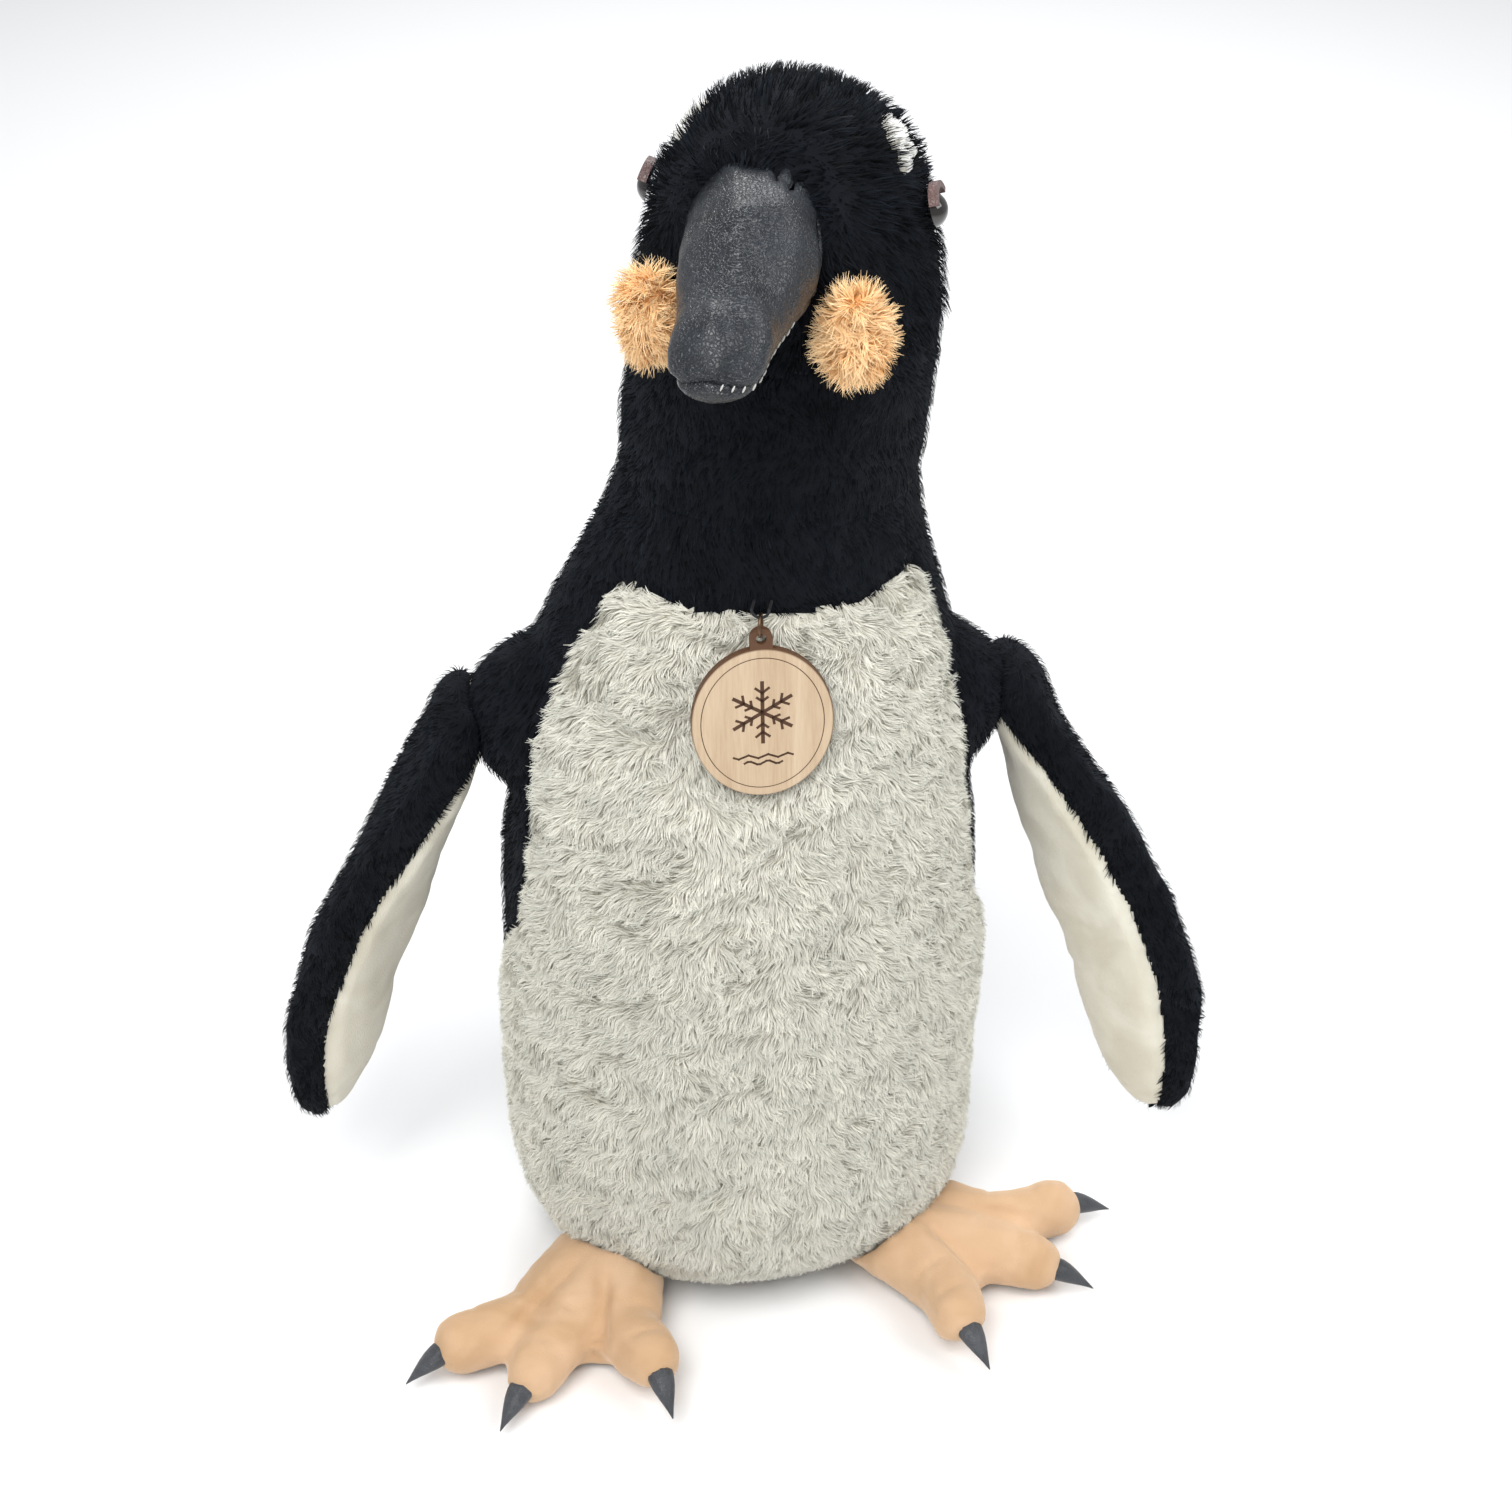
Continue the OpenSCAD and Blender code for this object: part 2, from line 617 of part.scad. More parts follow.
module medallion() {
    oval = [medal_w / 2, medal_h / 2];
    color([0.76, 0.66, 0.52]) on_medal()
        translate([0, 0, -medal_t / 2]) difference() {
            linear_extrude(medal_t) {
                translate([0, -lug_r - medal_h / 2 + 0.8])
                    polygon([for (u = span(0, 354, 59)) [oval[0] * cos(u), oval[1] * sin(u)]]);
                circle(lug_r);
                translate([-lug_r, -lug_r - 1]) square([2 * lug_r, lug_r + 1]);
            }
            translate([0, 0, -1]) cylinder(h = medal_t + 2, d = hole_d);
        }
}

module jump_ring() {
    color([0.3, 0.22, 0.14]) on_medal()
        translate([0, ring_up, 0]) rotate([0, ring_turn, 0])
            rotate_extrude($fn = 48) translate([ring_d / 2, 0]) circle(d = wire_d, $fn = 16);
}

module thread_loop() {
    color("black") on_medal()
        translate([0, loop_up + loop_d / 2, 0]) rotate([0, ring_turn - 90, 0]) {
            rotate([0, 0, 180]) rotate_extrude(angle = 180, $fn = 48)
                translate([loop_d / 2, 0]) circle(d = thread_d, $fn = 16);
            for (side = [-1, 1]) translate([side * loop_d / 2, 0, -loop_leg])
                cylinder(h = loop_leg + thread_d / 2, d = thread_d, $fn = 16);
        }
}

torso_stuffing();
pellet_bag();
belly_panel();
back_panel(1);  // back_panel_left
back_panel(-1);  // back_panel_right
throat_yoke();
base_panel();
tail_cover();
tail_stuffing();
foot_upper(1);  // foot_upper_left
foot_upper(-1);  // foot_upper_right
foot_sole(1);  // foot_sole_left
foot_sole(-1);  // foot_sole_right
foot_stuffing(1);  // foot_stuffing_left
foot_stuffing(-1);  // foot_stuffing_right
claws(1);  // claws_left
claws(-1);  // claws_right
thread_loop();
neck_stuffing();
throat_panel();
nape_panel();
head_stuffing();
crown(1);  // crown_left
crown(-1);  // crown_right
white_patch(1);  // white_patch_left
white_patch(-1);  // white_patch_right
beak_upper();
beak_lower();
beak_stuffing();
eye(1);  // eye_left
eye(-1);  // eye_right
eyelid(1);  // eyelid_left
eyelid(-1);  // eyelid_right
eye_washer(1);  // eye_washer_left
eye_washer(-1);  // eye_washer_right
cheek_tuft(1);  // cheek_tuft_left
cheek_tuft(-1);  // cheek_tuft_right
flipper_cover(1);  // flipper_cover_left
flipper_cover(-1);  // flipper_cover_right
flipper_lining(1);  // flipper_lining_left
flipper_lining(-1);  // flipper_lining_right
flipper_stuffing(1);  // flipper_stuffing_left
flipper_stuffing(-1);  // flipper_stuffing_right
jump_ring();
medallion();
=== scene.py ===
"""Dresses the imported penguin: plush hide and pile, leather beak and claws, velour feet, glossy
eyes, a wooden medallion, and the studio round them. All sizes are in metres."""

import logging
import math
from dataclasses import dataclass, field
from enum import Enum
from typing import Callable, Sequence

import bpy
import numpy as np
from mathutils import Matrix, Vector
from mathutils.bvhtree import BVHTree
from mathutils.kdtree import KDTree


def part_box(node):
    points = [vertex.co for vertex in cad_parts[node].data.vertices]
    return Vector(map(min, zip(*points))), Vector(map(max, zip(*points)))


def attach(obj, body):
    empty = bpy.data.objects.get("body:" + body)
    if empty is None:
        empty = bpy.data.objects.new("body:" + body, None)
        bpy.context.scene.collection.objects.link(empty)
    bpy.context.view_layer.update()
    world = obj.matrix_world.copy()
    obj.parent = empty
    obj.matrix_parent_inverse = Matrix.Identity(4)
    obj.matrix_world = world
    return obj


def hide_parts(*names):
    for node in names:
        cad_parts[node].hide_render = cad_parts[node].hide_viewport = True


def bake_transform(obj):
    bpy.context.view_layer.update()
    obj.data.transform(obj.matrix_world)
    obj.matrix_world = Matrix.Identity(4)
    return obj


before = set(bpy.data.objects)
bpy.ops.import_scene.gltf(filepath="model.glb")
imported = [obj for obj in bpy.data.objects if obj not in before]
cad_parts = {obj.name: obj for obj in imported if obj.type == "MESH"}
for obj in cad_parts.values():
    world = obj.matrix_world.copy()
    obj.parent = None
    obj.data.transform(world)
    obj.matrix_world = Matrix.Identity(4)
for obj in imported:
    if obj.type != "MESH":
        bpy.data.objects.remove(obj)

LOG = logging.getLogger("penguin")
MM = 0.001
PIECE_LIMIT = 190_000  # triangles
BEAK_ROOT = np.array([0.0, -0.045, 0.505])
BEAK_FRINGE = 34 * MM  # how far round the root the pile leans over the beak
CROWN_BAND = (0.47, 0.04)  # where the crown's pile starts to lie back, and how far that takes
CLOTH_QUALITY = 3
CLOTH_PRESSURE = 4
CLOTH_FRAMES = 20
Colour = tuple[float, float, float]
Obj = bpy.types.Object


class Side(Enum):
    """The penguin's own left and right."""

    LEFT = 1
    RIGHT = -1

    @property
    def tag(self) -> str:
        """The side's name as the nodes spell it."""
        return self.name.lower()


class Lay(Enum):
    """Which way a pile is brushed."""

    DOWN = "down the body"
    FRONT = "down and outwards from the middle of the front"
    CROWN = "back from the beak, then down"
    FLUFF = "outwards all round"


# ---------------------------------------------------------------- bench work


def pick(*pieces: Obj) -> None:
    """Selects these pieces alone and makes the first one active."""
    bpy.ops.object.select_all(action="DESELECT")
    for piece in pieces:
        piece.select_set(True)
    bpy.context.view_layer.objects.active = pieces[0]


def edit(piece: Obj, *steps: Callable[[], object]) -> None:
    """Runs edit-mode operators on the whole of a piece.

    Args:
        piece: The mesh to edit.
        steps: Calls to run in edit mode, with everything selected.
    """
    pick(piece)
    bpy.ops.object.mode_set(mode="EDIT")
    bpy.ops.mesh.select_all(action="SELECT")
    for step in steps:
        step()
    bpy.ops.object.mode_set(mode="OBJECT")


def apply(piece: Obj, kind: str, **settings: object) -> None:
    """Adds one modifier with these settings and applies it."""
    modifier = piece.modifiers.new(kind.title(), kind)
    for key, value in settings.items():
        setattr(modifier, key, value)
    pick(piece)
    bpy.ops.object.modifier_apply(modifier=modifier.name)


def smooth(piece: Obj) -> None:
    """Shades a piece smooth all over."""
    piece.data.polygons.foreach_set("use_smooth", [True] * len(piece.data.polygons))


def named(piece: Obj, name: str) -> Obj:
    """Gives a piece and its mesh one name."""
    piece.name = piece.data.name = name
    return piece


def settle(piece: Obj) -> Obj:
    """Moves a piece's place and turn into its mesh, so that its object sits at the origin."""
    bpy.context.view_layer.update()
    piece.data.transform(piece.matrix_world)
    piece.matrix_world = Matrix.Identity(4)
    return piece


def joined(name: str, parts: Sequence[Obj]) -> Obj:
    """Joins pieces into the first of them, under one name."""
    pick(*parts)
    if len(parts) > 1:
        bpy.ops.object.join()
    return named(bpy.context.active_object, name)


def copy_nodes(name: str, nodes: Sequence[str]) -> Obj:
    """Joins copies of CAD nodes' meshes into one merged mesh.

    Args:
        name: The new object's name.
        nodes: The CAD nodes to copy.

    Returns:
        The joined object.
    """
    copies = []
    for node in nodes:
        copied = bpy.data.objects.new(name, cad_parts[node].data.copy())
        bpy.context.scene.collection.objects.link(copied)
        copies.append(copied)
    whole = joined(name, copies)
    whole.data.materials.clear()
    edit(whole, lambda: bpy.ops.mesh.remove_doubles(threshold=1e-5))
    return whole


def read(collection: object, key: str, width: int = 3, kind: type = float) -> np.ndarray:
    """Reads one property of every item of a mesh collection into an array of rows."""
    values = np.empty(len(collection) * width, kind)
    collection.foreach_get(key, values)
    return values.reshape(-1, width) if width > 1 else values


def points_of(piece: Obj) -> np.ndarray:
    """A mesh's points, one row each."""
    return read(piece.data.vertices, "co")


def normals_of(piece: Obj) -> np.ndarray:
    """A mesh's point normals, one row each."""
    return read(piece.data.vertex_normals, "vector")


def move_points(piece: Obj, points: np.ndarray) -> None:
    """Puts a mesh's points at new places."""
    piece.data.vertices.foreach_set("co", points.ravel())
    piece.data.update()


def unit(vectors: np.ndarray) -> np.ndarray:
    """Rows scaled to length one."""
    return vectors / np.maximum(np.linalg.norm(vectors, axis=-1, keepdims=True), 1e-9)


def wander(points: np.ndarray, size: float, seed: int) -> np.ndarray:
    """Smooth random values over places, from about -1 to 1.

    Args:
        points: Places, one row each.
        size: Typical distance between crests.
        seed: Picks the pattern.

    Returns:
        One value for each place.
    """
    rng = np.random.default_rng(seed)
    total = np.zeros(len(points))
    for _ in range(10):
        way = unit(rng.normal(size=3)) * rng.uniform(0.55, 1.7) * math.tau / size
        total += np.sin(points @ way + rng.uniform(0, math.tau))
    return total / 3.2


def distances(points: np.ndarray, marks: np.ndarray) -> np.ndarray:
    """How far each point is from the nearest mark."""
    tree = KDTree(len(marks))
    for i, mark in enumerate(marks):
        tree.insert(mark, i)
    tree.balance()
    return np.array([tree.find(p)[2] for p in points])


def ball(place: Sequence[float], radii: Sequence[float], rings: int = 16) -> Obj:
    """An ellipsoid at a place, with its size in its mesh."""
    bpy.ops.object.select_all(action="DESELECT")
    bpy.ops.mesh.primitive_uv_sphere_add(
        segments=2 * rings, ring_count=rings, radius=1, location=place, scale=radii
    )
    return settle(bpy.context.active_object)


def swell(forms: Sequence[tuple[Obj, float]]) -> None:
    """Inflates closed forms with cloth simulation, as stuffing does a sewn cover.

    Args:
        forms: Each form, and the furthest that a point of it may move.
    """
    before = [points_of(form) for form, _ in forms]
    for form, _ in forms:
        cloth = form.modifiers.new("Stuffing", "CLOTH")
        cloth.settings.quality = CLOTH_QUALITY
        cloth.settings.use_pressure = True
        cloth.settings.uniform_pressure_force = CLOTH_PRESSURE
        cloth.settings.effector_weights.gravity = 0
        cloth.collision_settings.use_collision = False
    for step in range(1, CLOTH_FRAMES + 1):
        bpy.context.scene.frame_set(step)
    for (form, cap), start in zip(forms, before):
        pick(form)
        bpy.ops.object.modifier_apply(modifier="Stuffing")
        moved = points_of(form) - start
        far = np.maximum(np.linalg.norm(moved, axis=1, keepdims=True), 1e-9)
        move_points(form, start + moved * np.minimum(1, cap / far))
    bpy.context.scene.frame_set(1)


# ---------------------------------------------------------------- finishes


class Shader:
    """A material with one Principled BSDF, and short ways to wire it."""

    def __init__(self, name: str, **sockets: object) -> None:
        """Makes the material and sets constant sockets, with _ for a space in their names."""
        self.material = bpy.data.materials.new(name)
        self.material.use_nodes = True
        self.tree = self.material.node_tree
        self.bsdf = self.tree.nodes["Principled BSDF"]
        for key, value in sockets.items():
            self.bsdf.inputs[key.replace("_", " ")].default_value = value

    def add(self, kind: str, settings: dict | None = None, **inputs: object) -> bpy.types.Node:
        """Adds a node.

        Args:
            kind: The node's type, without the ShaderNode in front.
            settings: Properties of the node itself.
            inputs: Values or sockets for its inputs, by name, with _ for a space.

        Returns:
            The node.
        """
        return add_node(self.tree, kind, settings, **inputs)

    def feed(self, socket: str, value: bpy.types.NodeSocket) -> None:
        """Links a value to one of the shader's sockets."""
        self.tree.links.new(value, self.bsdf.inputs[socket])

    def bump(self, height: bpy.types.NodeSocket, depth: float, strength: float = 1.0) -> None:
        """Feeds a height through a Bump node to the shader's normal."""
        bump = self.add("Bump", Strength=strength, Distance=depth, Height=height)
        self.feed("Normal", bump.outputs[0])


def add_node(
    tree: bpy.types.NodeTree, kind: str, settings: dict | None = None, **inputs: object
) -> bpy.types.Node:
    """Adds a node to a tree and sets or links its inputs."""
    node = tree.nodes.new("ShaderNode" + kind)
    for key, value in (settings or {}).items():
        setattr(node, key, value)
    for key, value in inputs.items():
        name = key.replace("_", " ")
        socket = node.inputs[int(key[1:])] if key[0] == "i" and key[1:].isdigit() else node.inputs[name]
        if isinstance(value, bpy.types.NodeSocket):
            tree.links.new(value, socket)
        else:
            socket.default_value = value
    return node


def rgba(colour: Colour) -> tuple[float, float, float, float]:
    """A colour with full alpha."""
    return (*colour, 1.0)


class Grain(Enum):
    """The surface patterns that several materials share, each a node group."""

    PILE = "Pile grain"
    LEATHER = "Leather grain"

    @property
    def group(self) -> bpy.types.NodeTree:
        """The node group, built the first time that it's asked for."""
        found = bpy.data.node_groups.get(self.value)
        return found or (pile_group() if self is Grain.PILE else leather_group())


def new_group(name: str, inputs: dict[str, float], outputs: Sequence[str]) -> bpy.types.NodeTree:
    """An empty shader node group with float sockets, and its input and output nodes."""
    tree = bpy.data.node_groups.new(name, "ShaderNodeTree")
    for key, value in inputs.items():
        tree.interface.new_socket(key, in_out="INPUT", socket_type="NodeSocketFloat").default_value = value
    for key in outputs:
        tree.interface.new_socket(key, in_out="OUTPUT", socket_type="NodeSocketFloat")
    tree.nodes.new("NodeGroupInput")
    tree.nodes.new("NodeGroupOutput")
    return tree


def pile_group() -> bpy.types.NodeTree:
    """Fine pile, and the broad patches where a hand has brushed it."""
    tree = new_group("Pile grain", {"Fineness": 900.0, "Patches": 22.0}, ("Height", "Patch"))
    given, out = tree.nodes["Group Input"], tree.nodes["Group Output"]
    place = add_node(tree, "TexCoord").outputs["Object"]
    long_way = add_node(tree, "Mapping", Vector=place, Scale=(1, 1, 0.45)).outputs[0]
    fine = add_node(tree, "TexNoise", Vector=long_way, Scale=given.outputs[0], Detail=3.0, Roughness=0.65)
    broad = add_node(tree, "TexNoise", Vector=place, Scale=given.outputs[1], Detail=2.5, Distortion=0.9)
    spread = add_node(tree, "MapRange", Value=broad.outputs[0], From_Min=0.36, From_Max=0.68)
    tree.links.new(fine.outputs[0], out.inputs[0])
    tree.links.new(spread.outputs[0], out.inputs[1])
    return tree


def leather_group() -> bpy.types.NodeTree:
    """Pebbled leather: small cells with creases between them, and slow wear."""
    tree = new_group("Leather grain", {"Pebbles": 700.0}, ("Height", "Wear"))
    given, out = tree.nodes["Group Input"], tree.nodes["Group Output"]
    place = add_node(tree, "TexCoord").outputs["Object"]
    bend = add_node(tree, "TexNoise", Vector=place, Scale=260.0, Detail=2.0)
    bent = add_node(tree, "MixRGB", {"blend_type": "MIX"}, Fac=0.004, Color1=place, Color2=bend.outputs[1])
    cells = add_node(
        tree, "TexVoronoi", {"feature": "DISTANCE_TO_EDGE"}, Vector=bent.outputs[0], Scale=given.outputs[0]
    )
    crease = add_node(tree, "MapRange", Value=cells.outputs[0], From_Max=0.22)
    wear = add_node(tree, "TexNoise", Vector=place, Scale=55.0, Detail=5.0, Roughness=0.6)
    tree.links.new(crease.outputs[0], out.inputs[0])
    tree.links.new(wear.outputs[0], out.inputs[1])
    return tree


@dataclass(frozen=True)
class Finish:
    """A named look, made into a material the first time that it's asked for."""

    name: str

    def make(self) -> bpy.types.Material:
        """The material of this name."""
        return bpy.data.materials.get(self.name) or self.shader().material

    def shader(self) -> Shader:
        """Wires the look up; each kind of finish has its own way."""
        raise NotImplementedError


@dataclass(frozen=True)
class Plush(Finish):
    """Plush, velour or felt, seen as a surface under or without strands."""

    dark: Colour
    light: Colour
    fineness: float = 1100.0
    patches: float = 22.0
    relief: float = 0.8 * MM
    roughness: float = 0.9
    sheen: float = 0.5
    sheen_colour: Colour = (0.5, 0.55, 0.65)

    def shader(self) -> Shader:
        """Wires the look up."""
        shader = Shader(
            self.name,
            Roughness=self.roughness,
            Sheen_Weight=self.sheen,
            Sheen_Roughness=0.45,
            Sheen_Tint=rgba(self.sheen_colour),
            Specular_IOR_Level=0.15,
        )
        grain = shader.add(
            "Group", {"node_tree": Grain.PILE.group}, Fineness=self.fineness, Patches=self.patches
        )
        mix = shader.add(
            "MixRGB", Fac=grain.outputs["Patch"], Color1=rgba(self.dark), Color2=rgba(self.light)
        )
        shader.feed("Base Color", mix.outputs[0])
        shader.bump(grain.outputs["Height"], self.relief)
        return shader


@dataclass(frozen=True)
class StrandFinish(Finish):
    """The look of loose fibres: a colour from root to tip that darkens towards the root as painted shade deep
    in the pile, and a shade for each strand.

    The strand's own map gives the shade across and the place along it.
    """

    root: Colour
    middle: Colour
    tip: Colour
    shades: tuple[float, float] = (0.75, 1.15)
    roughness: float = 0.55
    sheen: float = 0.3
    gloss: float = 0.3

    def shader(self) -> Shader:
        """Wires the look up."""
        shader = Shader(
            self.name,
            Roughness=self.roughness,
            Sheen_Weight=self.sheen,
            Sheen_Tint=rgba(self.tip),
            Specular_IOR_Level=self.gloss,
        )
        own = shader.add("UVMap", {"uv_map": "OFBake"})
        axes = shader.add("SeparateXYZ", Vector=own.outputs[0])
        # Painted shade: the ramp darkens each strand towards its root, where the pile shades itself, and
        # keeps the tip lighter.
        ramp = shader.add("ValToRGB", Fac=axes.outputs["Y"])
        stops = ramp.color_ramp.elements
        stops[0].color, stops[1].color = rgba(self.root), rgba(self.tip)
        stops.new(0.45).color = rgba(self.middle)
        shade = shader.add(
            "MapRange", Value=axes.outputs["X"], To_Min=self.shades[0], To_Max=self.shades[1]
        )
        tone = shader.add("CombineColor", Red=shade.outputs[0], Green=shade.outputs[0], Blue=shade.outputs[0])
        mix = shader.add(
            "MixRGB", {"blend_type": "MULTIPLY"}, Fac=1.0, Color1=ramp.outputs[0], Color2=tone.outputs[0]
        )
        shader.feed("Base Color", mix.outputs[0])
        return shader


@dataclass(frozen=True)
class Leather(Finish):
    """Grained leathercloth, with the same pebbled grain all over and slow wear."""

    colour: Colour
    worn: Colour
    roughness: float = 0.4
    pebbles: float = 750.0
    relief: float = 0.25 * MM

    def shader(self) -> Shader:
        """Wires the look up."""
        shader = Shader(self.name, Specular_IOR_Level=0.5, Coat_Weight=0.12, Coat_Roughness=0.3)
        grain = shader.add("Group", {"node_tree": Grain.LEATHER.group}, Pebbles=self.pebbles)
        wear = shader.add("MapRange", Value=grain.outputs["Wear"], From_Min=0.35, From_Max=0.7)
        mix = shader.add("MixRGB", Fac=wear.outputs[0], Color1=rgba(self.colour), Color2=rgba(self.worn))
        shader.feed("Base Color", mix.outputs[0])
        rough = shader.add(
            "MapRange", Value=grain.outputs["Wear"], From_Min=0.3, From_Max=0.75,
            To_Min=self.roughness - 0.07, To_Max=self.roughness + 0.12,
        )
        shader.feed("Roughness", rough.outputs[0])
        shader.bump(grain.outputs["Height"], self.relief, 0.7)
        return shader


@dataclass(frozen=True)
class Plain(Finish):
    """Moulded plastic, wire and thread: one colour with a fine mottle and small marks."""

    colour: Colour
    roughness: float
    metallic: float = 0.0
    coat: float = 0.0
    mottle: float = 0.15
    fineness: float = 600.0

    def shader(self) -> Shader:
        """Wires the look up."""
        shader = Shader(self.name, Metallic=self.metallic, Coat_Weight=self.coat, Coat_Roughness=0.05)
        place = shader.add("TexCoord").outputs["Object"]
        noise = shader.add("TexNoise", Vector=place, Scale=self.fineness, Detail=4.0)
        dark = tuple(c * (1 - self.mottle) for c in self.colour)
        mix = shader.add("MixRGB", Fac=noise.outputs[0], Color1=rgba(dark), Color2=rgba(self.colour))
        shader.feed("Base Color", mix.outputs[0])
        rough = shader.add(
            "MapRange", Value=noise.outputs[0],
            To_Min=self.roughness, To_Max=self.roughness * (1 + self.mottle),
        )
        shader.feed("Roughness", rough.outputs[0])
        shader.bump(noise.outputs[0], 0.05 * MM, 0.3)
        return shader


@dataclass(frozen=True)
class Plywood:
    """Birch plywood with fine upright grain, burnt brown at its cut edge."""

    pale: Colour = (0.58, 0.45, 0.31)
    dark: Colour = (0.46, 0.33, 0.21)
    burnt: Colour = (0.10, 0.045, 0.02)

    def make(self, disc: "Medallion") -> bpy.types.Material:
        """Builds the material for a disc, whose own axes the grain and the burnt edge follow."""
        shader = Shader("Plywood", Specular_IOR_Level=0.35)
        own = disc.frame_of_disc().inverted()
        place = shader.add("TexCoord").outputs["Object"]
        turn = shader.add(
            "Mapping", Vector=place, Location=tuple(own.to_translation()), Rotation=tuple(own.to_euler())
        ).outputs[0]
        long_grain = shader.add("Mapping", Vector=turn, Scale=(1.0, 0.06, 1.0)).outputs[0]
        fibre = shader.add("TexNoise", Vector=long_grain, Scale=900.0, Detail=4.0, Roughness=0.7)
        bands = shader.add("TexNoise", Vector=long_grain, Scale=120.0, Detail=3.0, Distortion=0.6)
        both = shader.add("Math", {"operation": "ADD"}, i0=fibre.outputs[0], i1=bands.outputs[0])
        spread = shader.add("MapRange", Value=both.outputs[0], From_Min=0.75, From_Max=1.3)
        grain = shader.add("MixRGB", Fac=spread.outputs[0], Color1=rgba(self.dark), Color2=rgba(self.pale))
        oval = shader.add(
            "VectorMath", {"operation": "MULTIPLY"}, i0=turn, i1=(2 / disc.width, 2 / disc.height, 0.0)
        )
        radius = shader.add("VectorMath", {"operation": "LENGTH"}, i0=oval.outputs[0])
        edge = shader.add("MapRange", Value=radius.outputs["Value"], From_Min=0.975, From_Max=0.998)
        mix = shader.add("MixRGB", Fac=edge.outputs[0], Color1=grain.outputs[0], Color2=rgba(self.burnt))
        shader.feed("Base Color", mix.outputs[0])
        rough = shader.add("MapRange", Value=fibre.outputs[0], To_Min=0.42, To_Max=0.62)
        shader.feed("Roughness", rough.outputs[0])
        shader.bump(both.outputs[0], 0.06 * MM, 0.4)
        return shader.material


# ---------------------------------------------------------------- piles


@dataclass(frozen=True)
class Pile:
    """A pile of fine strands: how long, how dense, and how it lies."""

    finish: StrandFinish
    length: float
    per_cm2: float
    width: float
    lean: float = 1.1
    spread: float = 0.25
    clump: float = 5 * MM
    gather: float = 0.45
    swirl: float = 0.5
    swirl_size: float = 45 * MM
    steps: int = 3
    lay: Lay = Lay.DOWN
    patchy: float = 0.16

    def grow(self, name: str, hide: Obj, seed: int) -> list[Obj]:
        """Grows the pile over a hide.

        Args:
            name: What the pieces are called, before their number.
            hide: The skin that the strands stand on, one outward surface.
            seed: Picks the strands.

        Returns:
            The pieces, each under the size limit.
        """
        rng = np.random.default_rng(seed)
        roots, normals = self.roots(hide, rng)
        count = len(roots)
        ways = self.brushed(roots, normals, seed)
        middles = self.clumps(roots, rng)
        lengths = self.length * (1 + self.spread * rng.uniform(-1, 1, count))
        along = np.linspace(0, 1, self.steps + 1)
        own = self.curve(roots, normals, ways, lengths, along)
        led = own[middles]
        pull = (self.gather * along**1.4)[None, :, None]
        path = own + (led - own) * pull * rng.uniform(0.5, 1.2, (count, 1, 1))
        forward = unit(np.gradient(path, axis=1))
        across = unit(np.cross(forward, normals[:, None, :]))
        twist = rng.normal(0, 0.35, (count, 1, 1))
        across = across * np.cos(twist) + np.cross(forward, across) * np.sin(twist)
        half = (self.width / 2 * (1 - 0.8 * along**1.5))[None, :, None]
        tones = 0.5 + 0.16 * rng.normal(size=count) + 0.2 * rng.normal(size=count)[middles]
        tones += self.patchy * wander(roots, 24 * MM, seed + 3)
        tones = np.clip(tones, 0.02, 0.98)
        return self.cut_up(name, path - across * half, path + across * half, tones, roots[:, 2])

    def roots(self, hide: Obj, rng: np.random.Generator) -> tuple[np.ndarray, np.ndarray]:
        """Random places on a hide, even by area, and the normals there."""
        hide.data.calc_loop_triangles()
        corners = read(hide.data.loop_triangles, "vertices", 3, np.int32)
        places, normals = points_of(hide)[corners], normals_of(hide)[corners]
        areas = np.linalg.norm(np.cross(places[:, 1] - places[:, 0], places[:, 2] - places[:, 0]), axis=1) / 2
        count = int(areas.sum() * 1e4 * self.per_cm2)
        chosen = rng.choice(len(areas), count, p=areas / areas.sum())
        side, deep = np.sqrt(rng.random(count)), rng.random(count)
        share = np.stack([1 - side, side * (1 - deep), side * deep], axis=1)[:, :, None]
        return (places[chosen] * share).sum(axis=1), unit((normals[chosen] * share).sum(axis=1))

    def brushed(self, roots: np.ndarray, normals: np.ndarray, seed: int) -> np.ndarray:
        """The way that the pile leans at each root, along the skin."""
        way = np.tile([0.0, 0.0, -1.0], (len(roots), 1))
        if self.lay is Lay.FRONT:
            way[:, 0] = np.clip(roots[:, 0] / 0.05, -1, 1) * 0.7
        elif self.lay is Lay.CROWN:
            back = roots - BEAK_ROOT
            low, rise = CROWN_BAND
            high = np.clip((roots[:, 2] - low) / rise, 0, 1)[:, None]
            near = np.exp(-((np.linalg.norm(back, axis=1) / BEAK_FRINGE) ** 2))[:, None]
            way = unit(way * (1 - high) + unit(back) * high * (1.4 - 3.2 * near))
        way = unit(way - normals * (way * normals).sum(axis=1, keepdims=True))
        broad = wander(roots, self.swirl_size, seed)
        fine = wander(roots, self.swirl_size * 0.4, seed + 1)
        turn = (self.swirl * (broad + 0.6 * fine))[:, None]
        return way * np.cos(turn) + np.cross(normals, way) * np.sin(turn)

    def clumps(self, roots: np.ndarray, rng: np.random.Generator) -> np.ndarray:
        """For each root, the strand that leads its clump."""
        cells = np.floor((roots + wander(roots, self.clump * 5, 7)[:, None] * self.clump * 0.6) / self.clump)
        keys = (cells @ np.array([73856093.0, 19349663.0, 83492791.0])).astype(np.int64)
        order = rng.permutation(len(roots))
        _, first, groups = np.unique(keys[order], return_index=True, return_inverse=True)
        leaders = np.empty(len(roots), np.int64)
        leaders[order] = order[first][groups]
        return leaders

